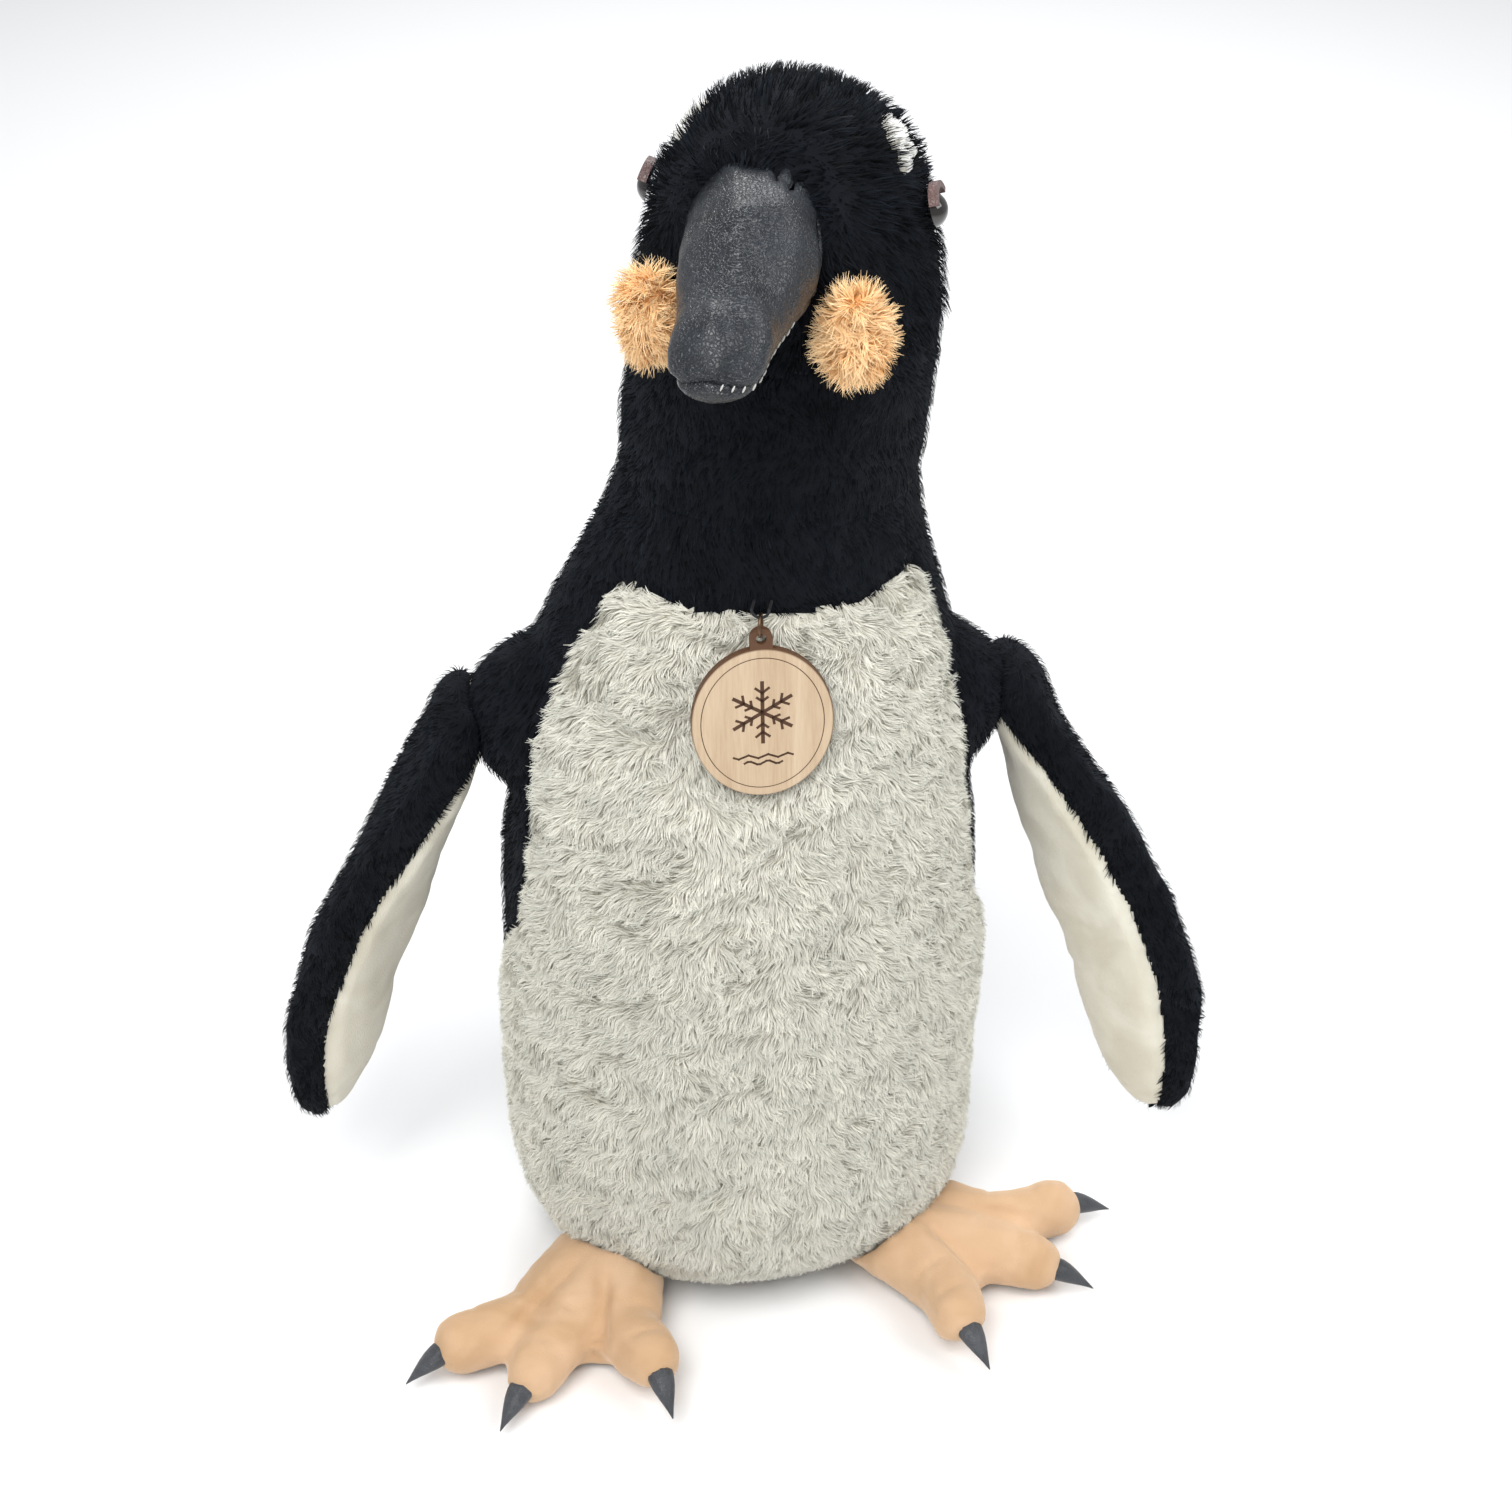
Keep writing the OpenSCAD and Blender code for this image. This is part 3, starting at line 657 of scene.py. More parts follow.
    def curve(
        self, roots: np.ndarray, normals: np.ndarray, ways: np.ndarray, lengths: np.ndarray, along: np.ndarray
    ) -> np.ndarray:
        """The points of each strand, which stands up at its root and leans over towards its tip."""
        rise = math.cos(self.lean) * along + 0.25 * math.sin(self.lean) * along * (1 - along)
        reach = math.sin(self.lean) * along**1.35
        return roots[:, None, :] + lengths[:, None, None] * (
            normals[:, None, :] * rise[None, :, None] + ways[:, None, :] * reach[None, :, None]
        )

    def cut_up(
        self, name: str, left: np.ndarray, right: np.ndarray, tones: np.ndarray, heights: np.ndarray
    ) -> list[Obj]:
        """Makes strands into pieces of even size, from the top down."""
        parts = math.ceil(len(tones) * self.steps * 2 / PIECE_LIMIT)
        order = np.argsort(-heights)
        pieces = []
        for number, rows in enumerate(np.array_split(order, max(parts, 1)), 1):
            label = f"{name}_{number}" if parts > 1 else name
            pieces.append(ribbons(label, left[rows], right[rows], tones[rows], self.finish.make()))
        return pieces


def ribbons(
    name: str, left: np.ndarray, right: np.ndarray, tones: np.ndarray, finish: bpy.types.Material
) -> Obj:
    """One mesh of thin ribbons, each mapped to its own narrow band.

    Args:
        name: The object's name.
        left: Left rail of each ribbon, by ribbon and step.
        right: Right rail of each ribbon.
        tones: Each ribbon's shade, from 0 to 1.
        finish: The material.

    Returns:
        The object.
    """
    count, steps = left.shape[:2]
    mesh = bpy.data.meshes.new(name)
    mesh.vertices.add(count * steps * 2)
    mesh.vertices.foreach_set("co", np.stack([left, right], axis=2).ravel())
    start = (np.arange(count)[:, None] * steps + np.arange(steps - 1)) * 2
    quads = np.stack([start, start + 1, start + 3, start + 2], axis=-1).reshape(-1, 4)
    mesh.loops.add(quads.size)
    mesh.loops.foreach_set("vertex_index", quads.ravel())
    mesh.polygons.add(len(quads))
    mesh.polygons.foreach_set("loop_start", np.arange(len(quads)) * 4)
    mesh.update(calc_edges=True)
    mesh.polygons.foreach_set("use_smooth", [True] * len(quads))
    at = np.linspace(0.01, 0.99, steps)
    band = np.array([-0.004, 0.004, 0.004, -0.004])
    across = np.broadcast_to(tones[:, None, None] + band, (count, steps - 1, 4))
    up = np.stack([at[:-1], at[:-1], at[1:], at[1:]], axis=-1)
    up = np.broadcast_to(up, (count, steps - 1, 4))
    layer = mesh.uv_layers.new(name="OFBake")
    layer.data.foreach_set("uv", np.stack([across, up], axis=-1).ravel())
    mesh.materials.append(finish)
    piece = bpy.data.objects.new(name, mesh)
    bpy.context.scene.collection.objects.link(piece)
    return piece


# ---------------------------------------------------------------- sewn forms


@dataclass(frozen=True)
class Seat:
    """Where a piece is seated: on one body, or, when a second body and a stretch are given, left unparented
    with its place baked into its mesh.
    """

    body: str
    other: str = ""
    start: tuple[float, float, float] = (0, 0, 0)
    end: tuple[float, float, float] = (0, 0, 1)

    def take(self, piece: Obj) -> None:
        """Seats a finished piece on its body, or bakes its place into its mesh when a second body is given.
        """
        if self.other:
            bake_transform(piece)
        else:
            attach(piece, self.body)


ON_TORSO = Seat("torso")
ON_HEAD = Seat("head")
OVER_NECK = Seat("torso", "head", (0.009, 0, 0.372), (0.009, 0, 0.430))


@dataclass(frozen=True)
class Panel:
    """One sewn panel: the CAD node that gives its outline, its fabric, and its pile."""

    node: str
    skin: Plush | Leather
    slot: str
    seat: Seat
    stands_for: tuple[str, ...] = ()
    pile: Pile | None = None
    fill: float = 0.8
    wall: float = 2.2 * MM


@dataclass
class SewnForm:
    """A stuffed form of several panels, made as one closed skin and then cut along its seams."""

    name: str
    nodes: tuple[str, ...]
    panels: tuple[Panel, ...]
    voxel: float = 4.5 * MM
    cap: float = 4 * MM
    inset: float = 1.5 * MM
    evened: int = 4
    seam_depth: float = 1.8 * MM
    seam_width: float = 3 * MM
    hidden_share: float = 0.35
    lump: float = 0.8 * MM
    lump_size: float = 60 * MM
    seed: int = 1
    mounds: tuple[tuple[tuple[float, float, float], tuple[float, float, float]], ...] = ()
    form: Obj | None = None
    pieces: dict[str, Obj] = field(default_factory=dict)
    piles: dict[str, list[Obj]] = field(default_factory=dict)

    def block(self) -> tuple[Obj, float]:
        """Makes the closed form and returns it with its cap, ready to be stuffed."""
        self.form = copy_nodes(self.name, self.nodes)
        joined(self.name, [self.form, *(ball(place, radii) for place, radii in self.mounds)])
        apply(self.form, "REMESH", mode="VOXEL", voxel_size=self.voxel)
        apply(self.form, "SMOOTH", factor=0.5, iterations=self.evened)
        move_points(self.form, points_of(self.form) - normals_of(self.form) * self.inset)
        return self.form, self.cap

    def shape(self) -> None:
        """Moves the form's points after stuffing; a form with more detail adds its own."""
        points, normals = points_of(self.form), normals_of(self.form)
        rise = self.lump * wander(points, self.lump_size, self.seed)
        rise += 0.35 * self.lump * wander(points, self.lump_size * 0.35, self.seed + 5)
        move_points(self.form, points + normals * rise[:, None])

    def mark(self) -> None:
        """Gives each face the number of the panel that lies nearest."""
        centres = read(self.form.data.polygons, "center")
        near = np.full(len(centres), 1e9)
        owner = np.zeros(len(centres), np.int32)
        for number, panel in enumerate(self.panels):
            source = copy_nodes("outline", (panel.node,))
            tree = BVHTree.FromPolygons(
                [v.co for v in source.data.vertices], [p.vertices for p in source.data.polygons]
            )
            bpy.data.objects.remove(source)
            for i, centre in enumerate(centres):
                away = tree.find_nearest(centre, near[i])[3]
                if away is not None and away < near[i] - 1e-7:
                    near[i], owner[i] = away, number
        for panel in self.panels:
            self.form.data.materials.append(bpy.data.materials.new(panel.node))
        self.form.data.polygons.foreach_set("material_index", owner)

    def seams(self, alike: bool = False) -> np.ndarray:
        """The points where one panel meets another.

        Args:
            alike: Whether to return the seams between two panels of one fabric, or the others.

        Returns:
            The points, one row each.
        """
        mesh = self.form.data
        owner = read(mesh.polygons, "material_index", 1, np.int32)
        sizes = read(mesh.polygons, "loop_total", 1, np.int32)
        edge_of = read(mesh.loops, "edge_index", 1, np.int32)
        face_owner = np.repeat(owner, sizes)
        low = np.full(len(mesh.edges), 99, np.int32)
        high = np.full(len(mesh.edges), -1, np.int32)
        np.minimum.at(low, edge_of, face_owner)
        np.maximum.at(high, edge_of, face_owner)
        fabrics = [panel.skin.name for panel in self.panels]
        same = np.array([[a == b for b in fabrics] for a in fabrics])
        chosen = (low != high) & (same[low, high] == alike)
        ends = read(mesh.edges, "vertices", 2, np.int32)[chosen]
        return points_of(self.form)[np.unique(ends)]

    def sew(self) -> None:
        """Draws the skin in along its seams."""
        for alike, share in ((False, 1.0), (True, self.hidden_share)):
            marks = self.seams(alike)
            if len(marks) == 0:
                continue
            points = points_of(self.form)
            away = distances(points, marks)
            depth = share * self.seam_depth * np.exp(-((away / self.seam_width) ** 2))
            move_points(self.form, points - normals_of(self.form) * depth[:, None])

    def cut(self) -> None:
        """Cuts the form into its panels and names them."""
        smooth(self.form)
        edit(self.form, lambda: bpy.ops.mesh.separate(type="MATERIAL"))
        cut_out = {piece.data.materials[0].name: piece for piece in bpy.context.selected_objects}
        for panel in self.panels:
            piece = cut_out[panel.node]
            bpy.data.materials.remove(piece.data.materials[0])
            piece.data.materials.clear()
            piece.data.materials.append(panel.skin.make())
            self.pieces[panel.node] = named(piece, f"{panel.node}_hide")

    def dress(self) -> None:
        """Grows each panel's pile, gives it its wall, and seats it."""
        for number, panel in enumerate(self.panels):
            piece = self.pieces.get(panel.node)
            if piece is None:
                raise ValueError(f"{self.name}: nothing lies nearest to {panel.node}")
            strands = []
            if panel.pile:
                strands = panel.pile.grow(f"{panel.node}_pile", piece, self.seed * 100 + number)
            self.piles[panel.node] = strands
            apply(piece, "SOLIDIFY", thickness=panel.wall, offset=-1.0)
            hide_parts(panel.node, *panel.stands_for)
            for part in [piece, *strands]:
                panel.seat.take(part)
            LOG.info("%s: %d pieces of pile", panel.node, len(strands))

    def finish(self) -> None:
        """Everything after stuffing, in order."""
        apply(self.form, "SUBSURF", levels=1, render_levels=1)
        self.mark()
        self.shape()
        self.sew()
        self.cut()
        self.dress()


# ---------------------------------------------------------------- fabrics of this toy

BLACK_PLUSH = Plush(
    "Black plush", (0.0025, 0.003, 0.005), (0.005, 0.006, 0.009), sheen=0.05, sheen_colour=(0.35, 0.45, 0.62)
)
# Colours from root to tip; the darker roots are painted shade deep in the pile.
BLACK_STRAND = StrandFinish(
    "Black strands", (0.001, 0.0015, 0.002), (0.0025, 0.0035, 0.005), (0.006, 0.008, 0.012),
    shades=(0.3, 1.9), roughness=0.5, sheen=0.04, gloss=0.06,
)
CREAM_SKIN = Plush(
    "Cream backing", (0.66, 0.64, 0.55), (0.76, 0.74, 0.65), sheen=0.2, sheen_colour=(1, 0.97, 0.9)
)
# Colours from root to tip; the darker roots are painted shade deep in the pile.
CREAM_STRAND = StrandFinish(
    "Cream strands", (0.60, 0.58, 0.49), (0.70, 0.68, 0.59), (0.78, 0.77, 0.68), shades=(0.84, 1.12),
    roughness=0.38, gloss=0.5,
)
# Colours from root to tip; the grey roots are painted shade deep in the pile.
WHITE_STRAND = StrandFinish("White strands", (0.6, 0.58, 0.53), (0.86, 0.85, 0.82), (0.93, 0.93, 0.91))
CREAM_VELOUR = Plush(
    "Cream velour", (0.66, 0.62, 0.50), (0.80, 0.77, 0.66), fineness=1500.0, patches=30.0,
    relief=0.35 * MM, sheen=0.5, sheen_colour=(1, 0.97, 0.88),
)
PEACH_VELOUR = Plush(
    "Peach velour", (0.56, 0.355, 0.20), (0.68, 0.46, 0.29), fineness=1600.0, patches=26.0,
    relief=0.3 * MM, sheen=0.55, sheen_colour=(1, 0.85, 0.68),
)
GREY_VELOUR = Plush(
    "Grey velour", (0.20, 0.19, 0.17), (0.30, 0.29, 0.26), fineness=1500.0,
    relief=0.3 * MM, sheen_colour=(0.8, 0.8, 0.8),
)
# Colours from root to tip; the darker roots are painted shade deep in the tuft.
PEACH_STRAND = StrandFinish(
    "Peach strands", (0.92, 0.56, 0.24), (0.97, 0.64, 0.31), (1.0, 0.76, 0.46),
    shades=(0.9, 1.08), roughness=0.5,
)
SLATE_LEATHER = Leather(
    "Slate leather", (0.006, 0.008, 0.011), (0.018, 0.022, 0.029), roughness=0.32, relief=0.4 * MM
)
BLACK_LEATHER = Leather(
    "Black leather", (0.008, 0.009, 0.012), (0.022, 0.025, 0.030), roughness=0.27, pebbles=900.0
)
CLAW_LEATHER = Leather(
    "Claw leather", (0.035, 0.038, 0.044), (0.07, 0.075, 0.085), roughness=0.42, pebbles=1100.0
)
PALE_THREAD = Plain("Pale thread", (0.55, 0.55, 0.52), 0.7)
BURNT_WOOD = Plain("Burnt wood", (0.085, 0.038, 0.018), 0.75, mottle=0.4)
PEACH_BACKING = Plush("Peach backing", (0.8, 0.42, 0.16), (0.9, 0.52, 0.25))
BROWN_LEATHER = Leather("Brown leather", (0.10, 0.055, 0.05), (0.17, 0.10, 0.09), roughness=0.45)

SHORT_BLACK = Pile(
    BLACK_STRAND, length=4 * MM, per_cm2=34, width=0.42 * MM, lean=1.15, clump=3 * MM,
    gather=0.3, swirl=0.5, steps=2,
)
CROWN_BLACK = Pile(
    BLACK_STRAND, length=7 * MM, per_cm2=42, width=0.42 * MM, lean=1.1, clump=4 * MM, gather=0.5, swirl=0.35,
    steps=2, lay=Lay.CROWN,
)
BELLY_CREAM = Pile(
    CREAM_STRAND, length=6 * MM, per_cm2=205, width=0.45 * MM, lean=0.9, spread=0.35, clump=2.6 * MM,
    gather=0.3, swirl=1.1, swirl_size=15 * MM, steps=2, lay=Lay.FRONT,
)
PATCH_WHITE = Pile(
    WHITE_STRAND, length=3.2 * MM, per_cm2=160, width=0.5 * MM, lean=0.95, clump=3 * MM,
    lay=Lay.CROWN, steps=2,
)
TUFT_PEACH = Pile(
    PEACH_STRAND, length=7.5 * MM, per_cm2=420, width=0.46 * MM, lean=0.85, spread=0.4, clump=2.2 * MM,
    gather=0.25, swirl=2.2, swirl_size=9 * MM, lay=Lay.FLUFF,
)


# Places and radii of the soft swellings that fill the cover out at the shoulders and the neck
SHOULDER_MOUNDS = tuple(((side.value * 0.077, 0.0, 0.283), (0.037, 0.036, 0.036)) for side in Side)
NECK_MOUND = (((0.012, 0.0, 0.405), (0.061, 0.045, 0.075)),)


@dataclass
class Hood(SewnForm):
    """The skin of the body and head, dented where the disc hangs against the bib."""

    dent: float = 5.5 * MM
    dent_size: tuple[float, float] = (36 * MM, 36 * MM)
    dent_place: tuple[float, float] = (0.0, 0.320)

    def shape(self) -> None:
        """Presses the bib in behind the disc and its ring."""
        super().shape()
        points = points_of(self.form)
        off = np.hypot(
            (points[:, 0] - self.dent_place[0]) / self.dent_size[0],
            (points[:, 2] - self.dent_place[1]) / self.dent_size[1],
        )
        points[:, 1] += np.where(points[:, 1] < 0, self.dent * np.exp(-(off**4)), 0.0)
        move_points(self.form, points)


def hood() -> Hood:
    """The body, neck and head as one skin: bib, back, yoke, throat, nape, crown and patches."""
    neck = dict(skin=BLACK_PLUSH, slot="black_plush", seat=OVER_NECK, pile=SHORT_BLACK)
    crown = dict(skin=BLACK_PLUSH, slot="black_plush", seat=ON_HEAD, pile=CROWN_BLACK)
    white = dict(skin=CREAM_SKIN, slot="white_pile", pile=PATCH_WHITE)
    panels = (
        Panel(
            "belly_panel", CREAM_SKIN, "cream_pile", ON_TORSO, ("torso_stuffing", "pellet_bag"), BELLY_CREAM
        ),
        Panel("back_panel_left", **neck),
        Panel("back_panel_right", **neck),
        Panel("throat_yoke", **neck),
        Panel("throat_panel", stands_for=("neck_stuffing",), **neck),
        Panel("nape_panel", **neck),
        Panel("crown_left", stands_for=("head_stuffing",), **crown),
        Panel("crown_right", **crown),
        Panel("white_patch_left", seat=ON_HEAD, **white),
        Panel("white_patch_right", seat=ON_HEAD, **white),
    )
    inside = ("torso_stuffing", "neck_stuffing", "head_stuffing", "base_panel")
    names = tuple(p.node for p in panels) + inside
    return Hood("hood", names, panels, seed=3, mounds=SHOULDER_MOUNDS + NECK_MOUND, hidden_share=0.0)


def flipper(side: Side) -> SewnForm:
    """One flipper: black plush outside, cream velour inside."""
    seat = Seat(f"flipper_{side.tag}")
    names = [f"flipper_{part}_{side.tag}" for part in ("cover", "lining", "stuffing")]
    panels = (
        Panel(names[0], BLACK_PLUSH, "black_plush", seat, (names[2],), SHORT_BLACK),
        Panel(names[1], CREAM_VELOUR, "cream_velour", seat),
    )
    return SewnForm(
        f"flipper_{side.tag}", tuple(names), panels, voxel=3.5 * MM, cap=3 * MM, evened=12,
        seed=11 + side.value,
    )


def tail() -> SewnForm:
    """The short tail behind the base."""
    panels = (Panel("tail_cover", BLACK_PLUSH, "black_plush", ON_TORSO, ("tail_stuffing",), SHORT_BLACK),)
    return SewnForm("tail", ("tail_cover", "tail_stuffing"), panels, voxel=3.5 * MM, cap=3 * MM, seed=21)


@dataclass
class Foot(SewnForm):
    """One foot: peach velour above, grey velour below, three stuffed toes with claws."""

    side: Side = Side.LEFT
    place: tuple[float, float] = (0.0620, -0.0440)
    heading: float = math.radians(60)
    toe_length: float = 93 * MM
    toe_width: float = 28 * MM
    toes: tuple[tuple[float, float, float], ...] = ((33, 1.0, 2 * MM), (6, 0.89, 0.0), (-40, 0.82, 7 * MM))
    channel: float = 3.2 * MM
    channel_width: float = 3.6 * MM
    channel_span: tuple[float, float] = (14 * MM, 66 * MM)
    channel_fade: tuple[float, float] = (14 * MM, 10 * MM)
    crease: float = 0.9 * MM
    crease_width: float = 2.2 * MM
    crease_reach: float = 9 * MM
    crease_places: tuple[float, ...] = (0.52, 0.74)
    claw_length: float = 18 * MM
    claw_width: float = 11 * MM
    claw_sunk: float = 4 * MM
    claw_droop: float = 0.42
    claw_bulge: float = 0.25
    claw_flatness: float = 0.86

    def along(self, degrees: float) -> np.ndarray:
        """The level direction of a toe that leaves the foot's own heading by an angle."""
        a, turn = math.radians(degrees), self.side.value * self.heading
        x, y = self.side.value * math.sin(a), -math.cos(a)
        c, s = math.cos(turn), math.sin(turn)
        return np.array([x * c - y * s, x * s + y * c, 0.0])

    def reach_and_off(self, points: np.ndarray, degrees: float) -> tuple[np.ndarray, np.ndarray]:
        """How far points lie along a toe's direction from the ankle, and how far off its line."""
        way = self.along(degrees)
        flat = points - np.array([*self.place, 0.0])
        return flat @ way, np.abs(flat @ np.array([-way[1], way[0], 0.0]))

    def shape(self) -> None:
        """Presses the sewn channels in between the toes, and the creases across each toe."""
        super().shape()
        points, normals = points_of(self.form), normals_of(self.form)
        top = np.clip(normals[:, 2] * 2, 0, 1)
        angles = [toe[0] for toe in self.toes]
        press = np.zeros(len(points))
        (start, end), (fade_in, fade_out) = self.channel_span, self.channel_fade
        for first, second in zip(angles, angles[1:]):
            reach, off = self.reach_and_off(points, (first + second) / 2)
            held = np.clip((reach - start) / fade_in, 0, 1) * np.clip((end - reach) / fade_out, 0, 1)
            press += self.channel * held * np.exp(-((off / self.channel_width) ** 2))
        for degrees, share, _ in self.toes:
            reach, off = self.reach_and_off(points, degrees)
            near = np.exp(-((off / self.crease_reach) ** 2))
            for where in self.crease_places:
                away = reach - self.toe_length * share * where
                press += self.crease * near * np.exp(-((away / self.crease_width) ** 2))
        move_points(self.form, points - normals * (press * top)[:, None])

    def claw(self, number: int) -> Obj:
        """Models one leather claw with a pinked edge, on the end of a toe."""
        degrees, share, lift = self.toes[number]
        way = self.along(degrees)
        bpy.ops.object.select_all(action="DESELECT")
        bpy.ops.mesh.primitive_cone_add(
            vertices=20, radius1=1.0, radius2=0.04, depth=1.0, end_fill_type="NGON"
        )
        made = bpy.context.active_object
        edit(made, lambda: bpy.ops.mesh.subdivide(number_cuts=5))
        points = points_of(made)
        t = points[:, 2] + 0.5
        turn = np.arctan2(points[:, 1], points[:, 0])
        bulge = 1 + self.claw_bulge * np.sin(np.pi * np.clip(t, 0, 1))
        ridge = 1 + 0.05 * np.cos(2 * turn)
        across = points[:, 0] * bulge * ridge * self.claw_width / 2
        up = points[:, 1] * bulge * self.claw_flatness * self.claw_width / 2
        pinked = np.where(t < 0.02, 0.06 * np.cos(turn * 5), 0.0)
        ahead = (t + pinked) * self.claw_length - self.claw_sunk
        drop = self.claw_droop * (t**1.5) * self.claw_length
        place = np.array([*self.place, lift + self.toe_width / 2]) + way * self.toe_length * share
        side_way = np.array([-way[1], way[0], 0.0])
        spots = place + ahead[:, None] * way + across[:, None] * side_way
        spots[:, 2] += up - drop
        move_points(made, spots)
        edit(made, lambda: bpy.ops.mesh.normals_make_consistent(inside=False))
        return made

    def claws(self) -> None:
        """Models the foot's claws as one piece that stands for their CAD node."""
        parts = [self.claw(number) for number in range(len(self.toes))]
        piece = joined(f"claws_{self.side.tag}_leather", parts)
        apply(piece, "BEVEL", width=0.3 * MM, segments=2, limit_method="ANGLE")
        smooth(piece)
        piece.data.materials.append(CLAW_LEATHER.make())
        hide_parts(f"claws_{self.side.tag}")
        ON_TORSO.take(piece)

    def finish(self) -> None:
        """Finishes the stuffed foot, then adds its claws."""
        super().finish()
        self.claws()


@dataclass
class Beak(SewnForm):
    """The stuffed leather beak, with its ridge, its bumps and the stitches at its mouth."""

    ridge: float = 1.3 * MM
    ridge_width: float = 4 * MM
    ridge_start: float = 16 * MM
    ridge_fade: float = 12 * MM
    flank: float = 11 * MM
    flank_width: float = 5 * MM
    bump: float = 2.2 * MM
    bump_size: float = 6.5 * MM
    bump_off: float = 8 * MM
    bump_back: float = 15 * MM
    bulge: float = 2.5 * MM
    bulge_size: float = 11 * MM
    bulge_off: float = 17 * MM
    root_sunk: float = 18 * MM
    stitch_step: float = 3.4 * MM
    stitch_length: float = 2.6 * MM
    stitch_thick: float = 0.7 * MM
    stitch_lean: float = 0.45
    stitched: tuple[float, float] = (34 * MM, -6 * MM)
    mouth: np.ndarray | None = None

    def axes(self) -> tuple[np.ndarray, np.ndarray, np.ndarray, float]:
        """The beak's tip, its forward and rightward directions, and its length."""
        points = points_of(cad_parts["beak_upper"])
        tip = points[np.argmin(points[:, 1])]
        back = points[points[:, 1] > points[:, 1].max() - 10 * MM].mean(axis=0)
        forward = unit((tip - back) * np.array([1, 1, 0]))
        length = float((tip - back) @ forward)
        return tip, forward, np.array([-forward[1], forward[0], 0.0]), length

    def shape(self) -> None:
        """Raises the ridge, the bulge beside the root and the two bumps behind the tip."""
        super().shape()
        tip, forward, right, length = self.axes()
        points, normals = points_of(self.form), normals_of(self.form)
        ahead, side = (points - tip) @ forward, (points - tip) @ right
        top = np.clip(normals[:, 2] * 1.6, 0, 1)
        held = np.clip((-ahead - self.ridge_start) / self.ridge_fade, 0, 1)
        crest = np.exp(-((side / self.ridge_width) ** 2))
        flank = np.exp(-(((np.abs(side) - self.flank) / self.flank_width) ** 2))
        rise = self.ridge * held * (crest - 0.5 * flank)
        for place in (-self.bump_off, self.bump_off):
            away = (side - place) ** 2 + (ahead + self.bump_back) ** 2
            rise += self.bump * np.exp(-away / self.bump_size**2)
        away = (ahead + length * 0.82) ** 2 + (side - self.bulge_off) ** 2
        rise = rise * top + self.bulge * np.exp(-away / self.bulge_size**2)
        sunk = self.root_sunk * np.clip((-ahead - length * 0.72) / (length * 0.2), 0, 1)
        move_points(self.form, points + normals * rise[:, None] - forward * sunk[:, None])

    def sew(self) -> None:
        """Draws in the mouth seam and remembers where it runs."""
        self.mouth = self.seams()
        super().sew()

    def stitches(self) -> None:
        """Whips pale stitches over the mouth seam, beside the tip."""
        tip, forward, right, _ = self.axes()
        ahead, side = (self.mouth - tip) @ forward, (self.mouth - tip) @ right
        back, first = self.stitched
        near = self.mouth[(ahead > -back) & (side > first)]
        order = np.argsort((near - tip) @ (right - forward))
        line, last = [], None
        for spot in near[order]:
            if last is None or np.linalg.norm(spot - last) > self.stitch_step:
                line.append(spot)
                last = spot
        lean = (Vector((0, 0, 1)) + Vector(right) * self.stitch_lean).to_track_quat("Z", "Y")
        radii = (self.stitch_thick / 2, self.stitch_thick / 2, self.stitch_length / 2)
        parts = []
        for spot in line:
            out = unit((spot - tip + forward * 40 * MM) * np.array([1, 1, 0.2]))
            stitch = ball((0, 0, 0), radii, rings=6)
            place = Vector(spot - out * 0.2 * MM)
            stitch.matrix_world = Matrix.Translation(place) @ lean.to_matrix().to_4x4()
            parts.append(settle(stitch))
        piece = joined("beak_stitches", parts)
        smooth(piece)
        piece.data.materials.append(PALE_THREAD.make())
        ON_HEAD.take(piece)

    def finish(self) -> None:
        """Finishes the stuffed beak, then stitches its mouth."""
        super().finish()
        self.stitches()


@dataclass
class CheekTuft:
    """A brushed fur pad on one cheek."""

    side: Side
    core: float = 0.8
    lump: float = 0.6 * MM
    lump_size: float = 9 * MM

    def build(self) -> None:
        """Models the backing and its fur."""
        node = f"cheek_tuft_{self.side.tag}"
        low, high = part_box(node)
        middle = np.array((low + high) / 2)
        backing = named(ball(middle, (high - low) / 2 * self.core), f"{node}_backing")
        points = points_of(backing)
        lumps = self.lump * wander(points, self.lump_size, 5)
        move_points(backing, points + normals_of(backing) * lumps[:, None])
        smooth(backing)
        backing.data.materials.append(PEACH_BACKING.make())
        fur = TUFT_PEACH.grow(f"{node}_fur", backing, 60 + self.side.value)
        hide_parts(node)
        for piece in [backing, *fur]:
            ON_HEAD.take(piece)


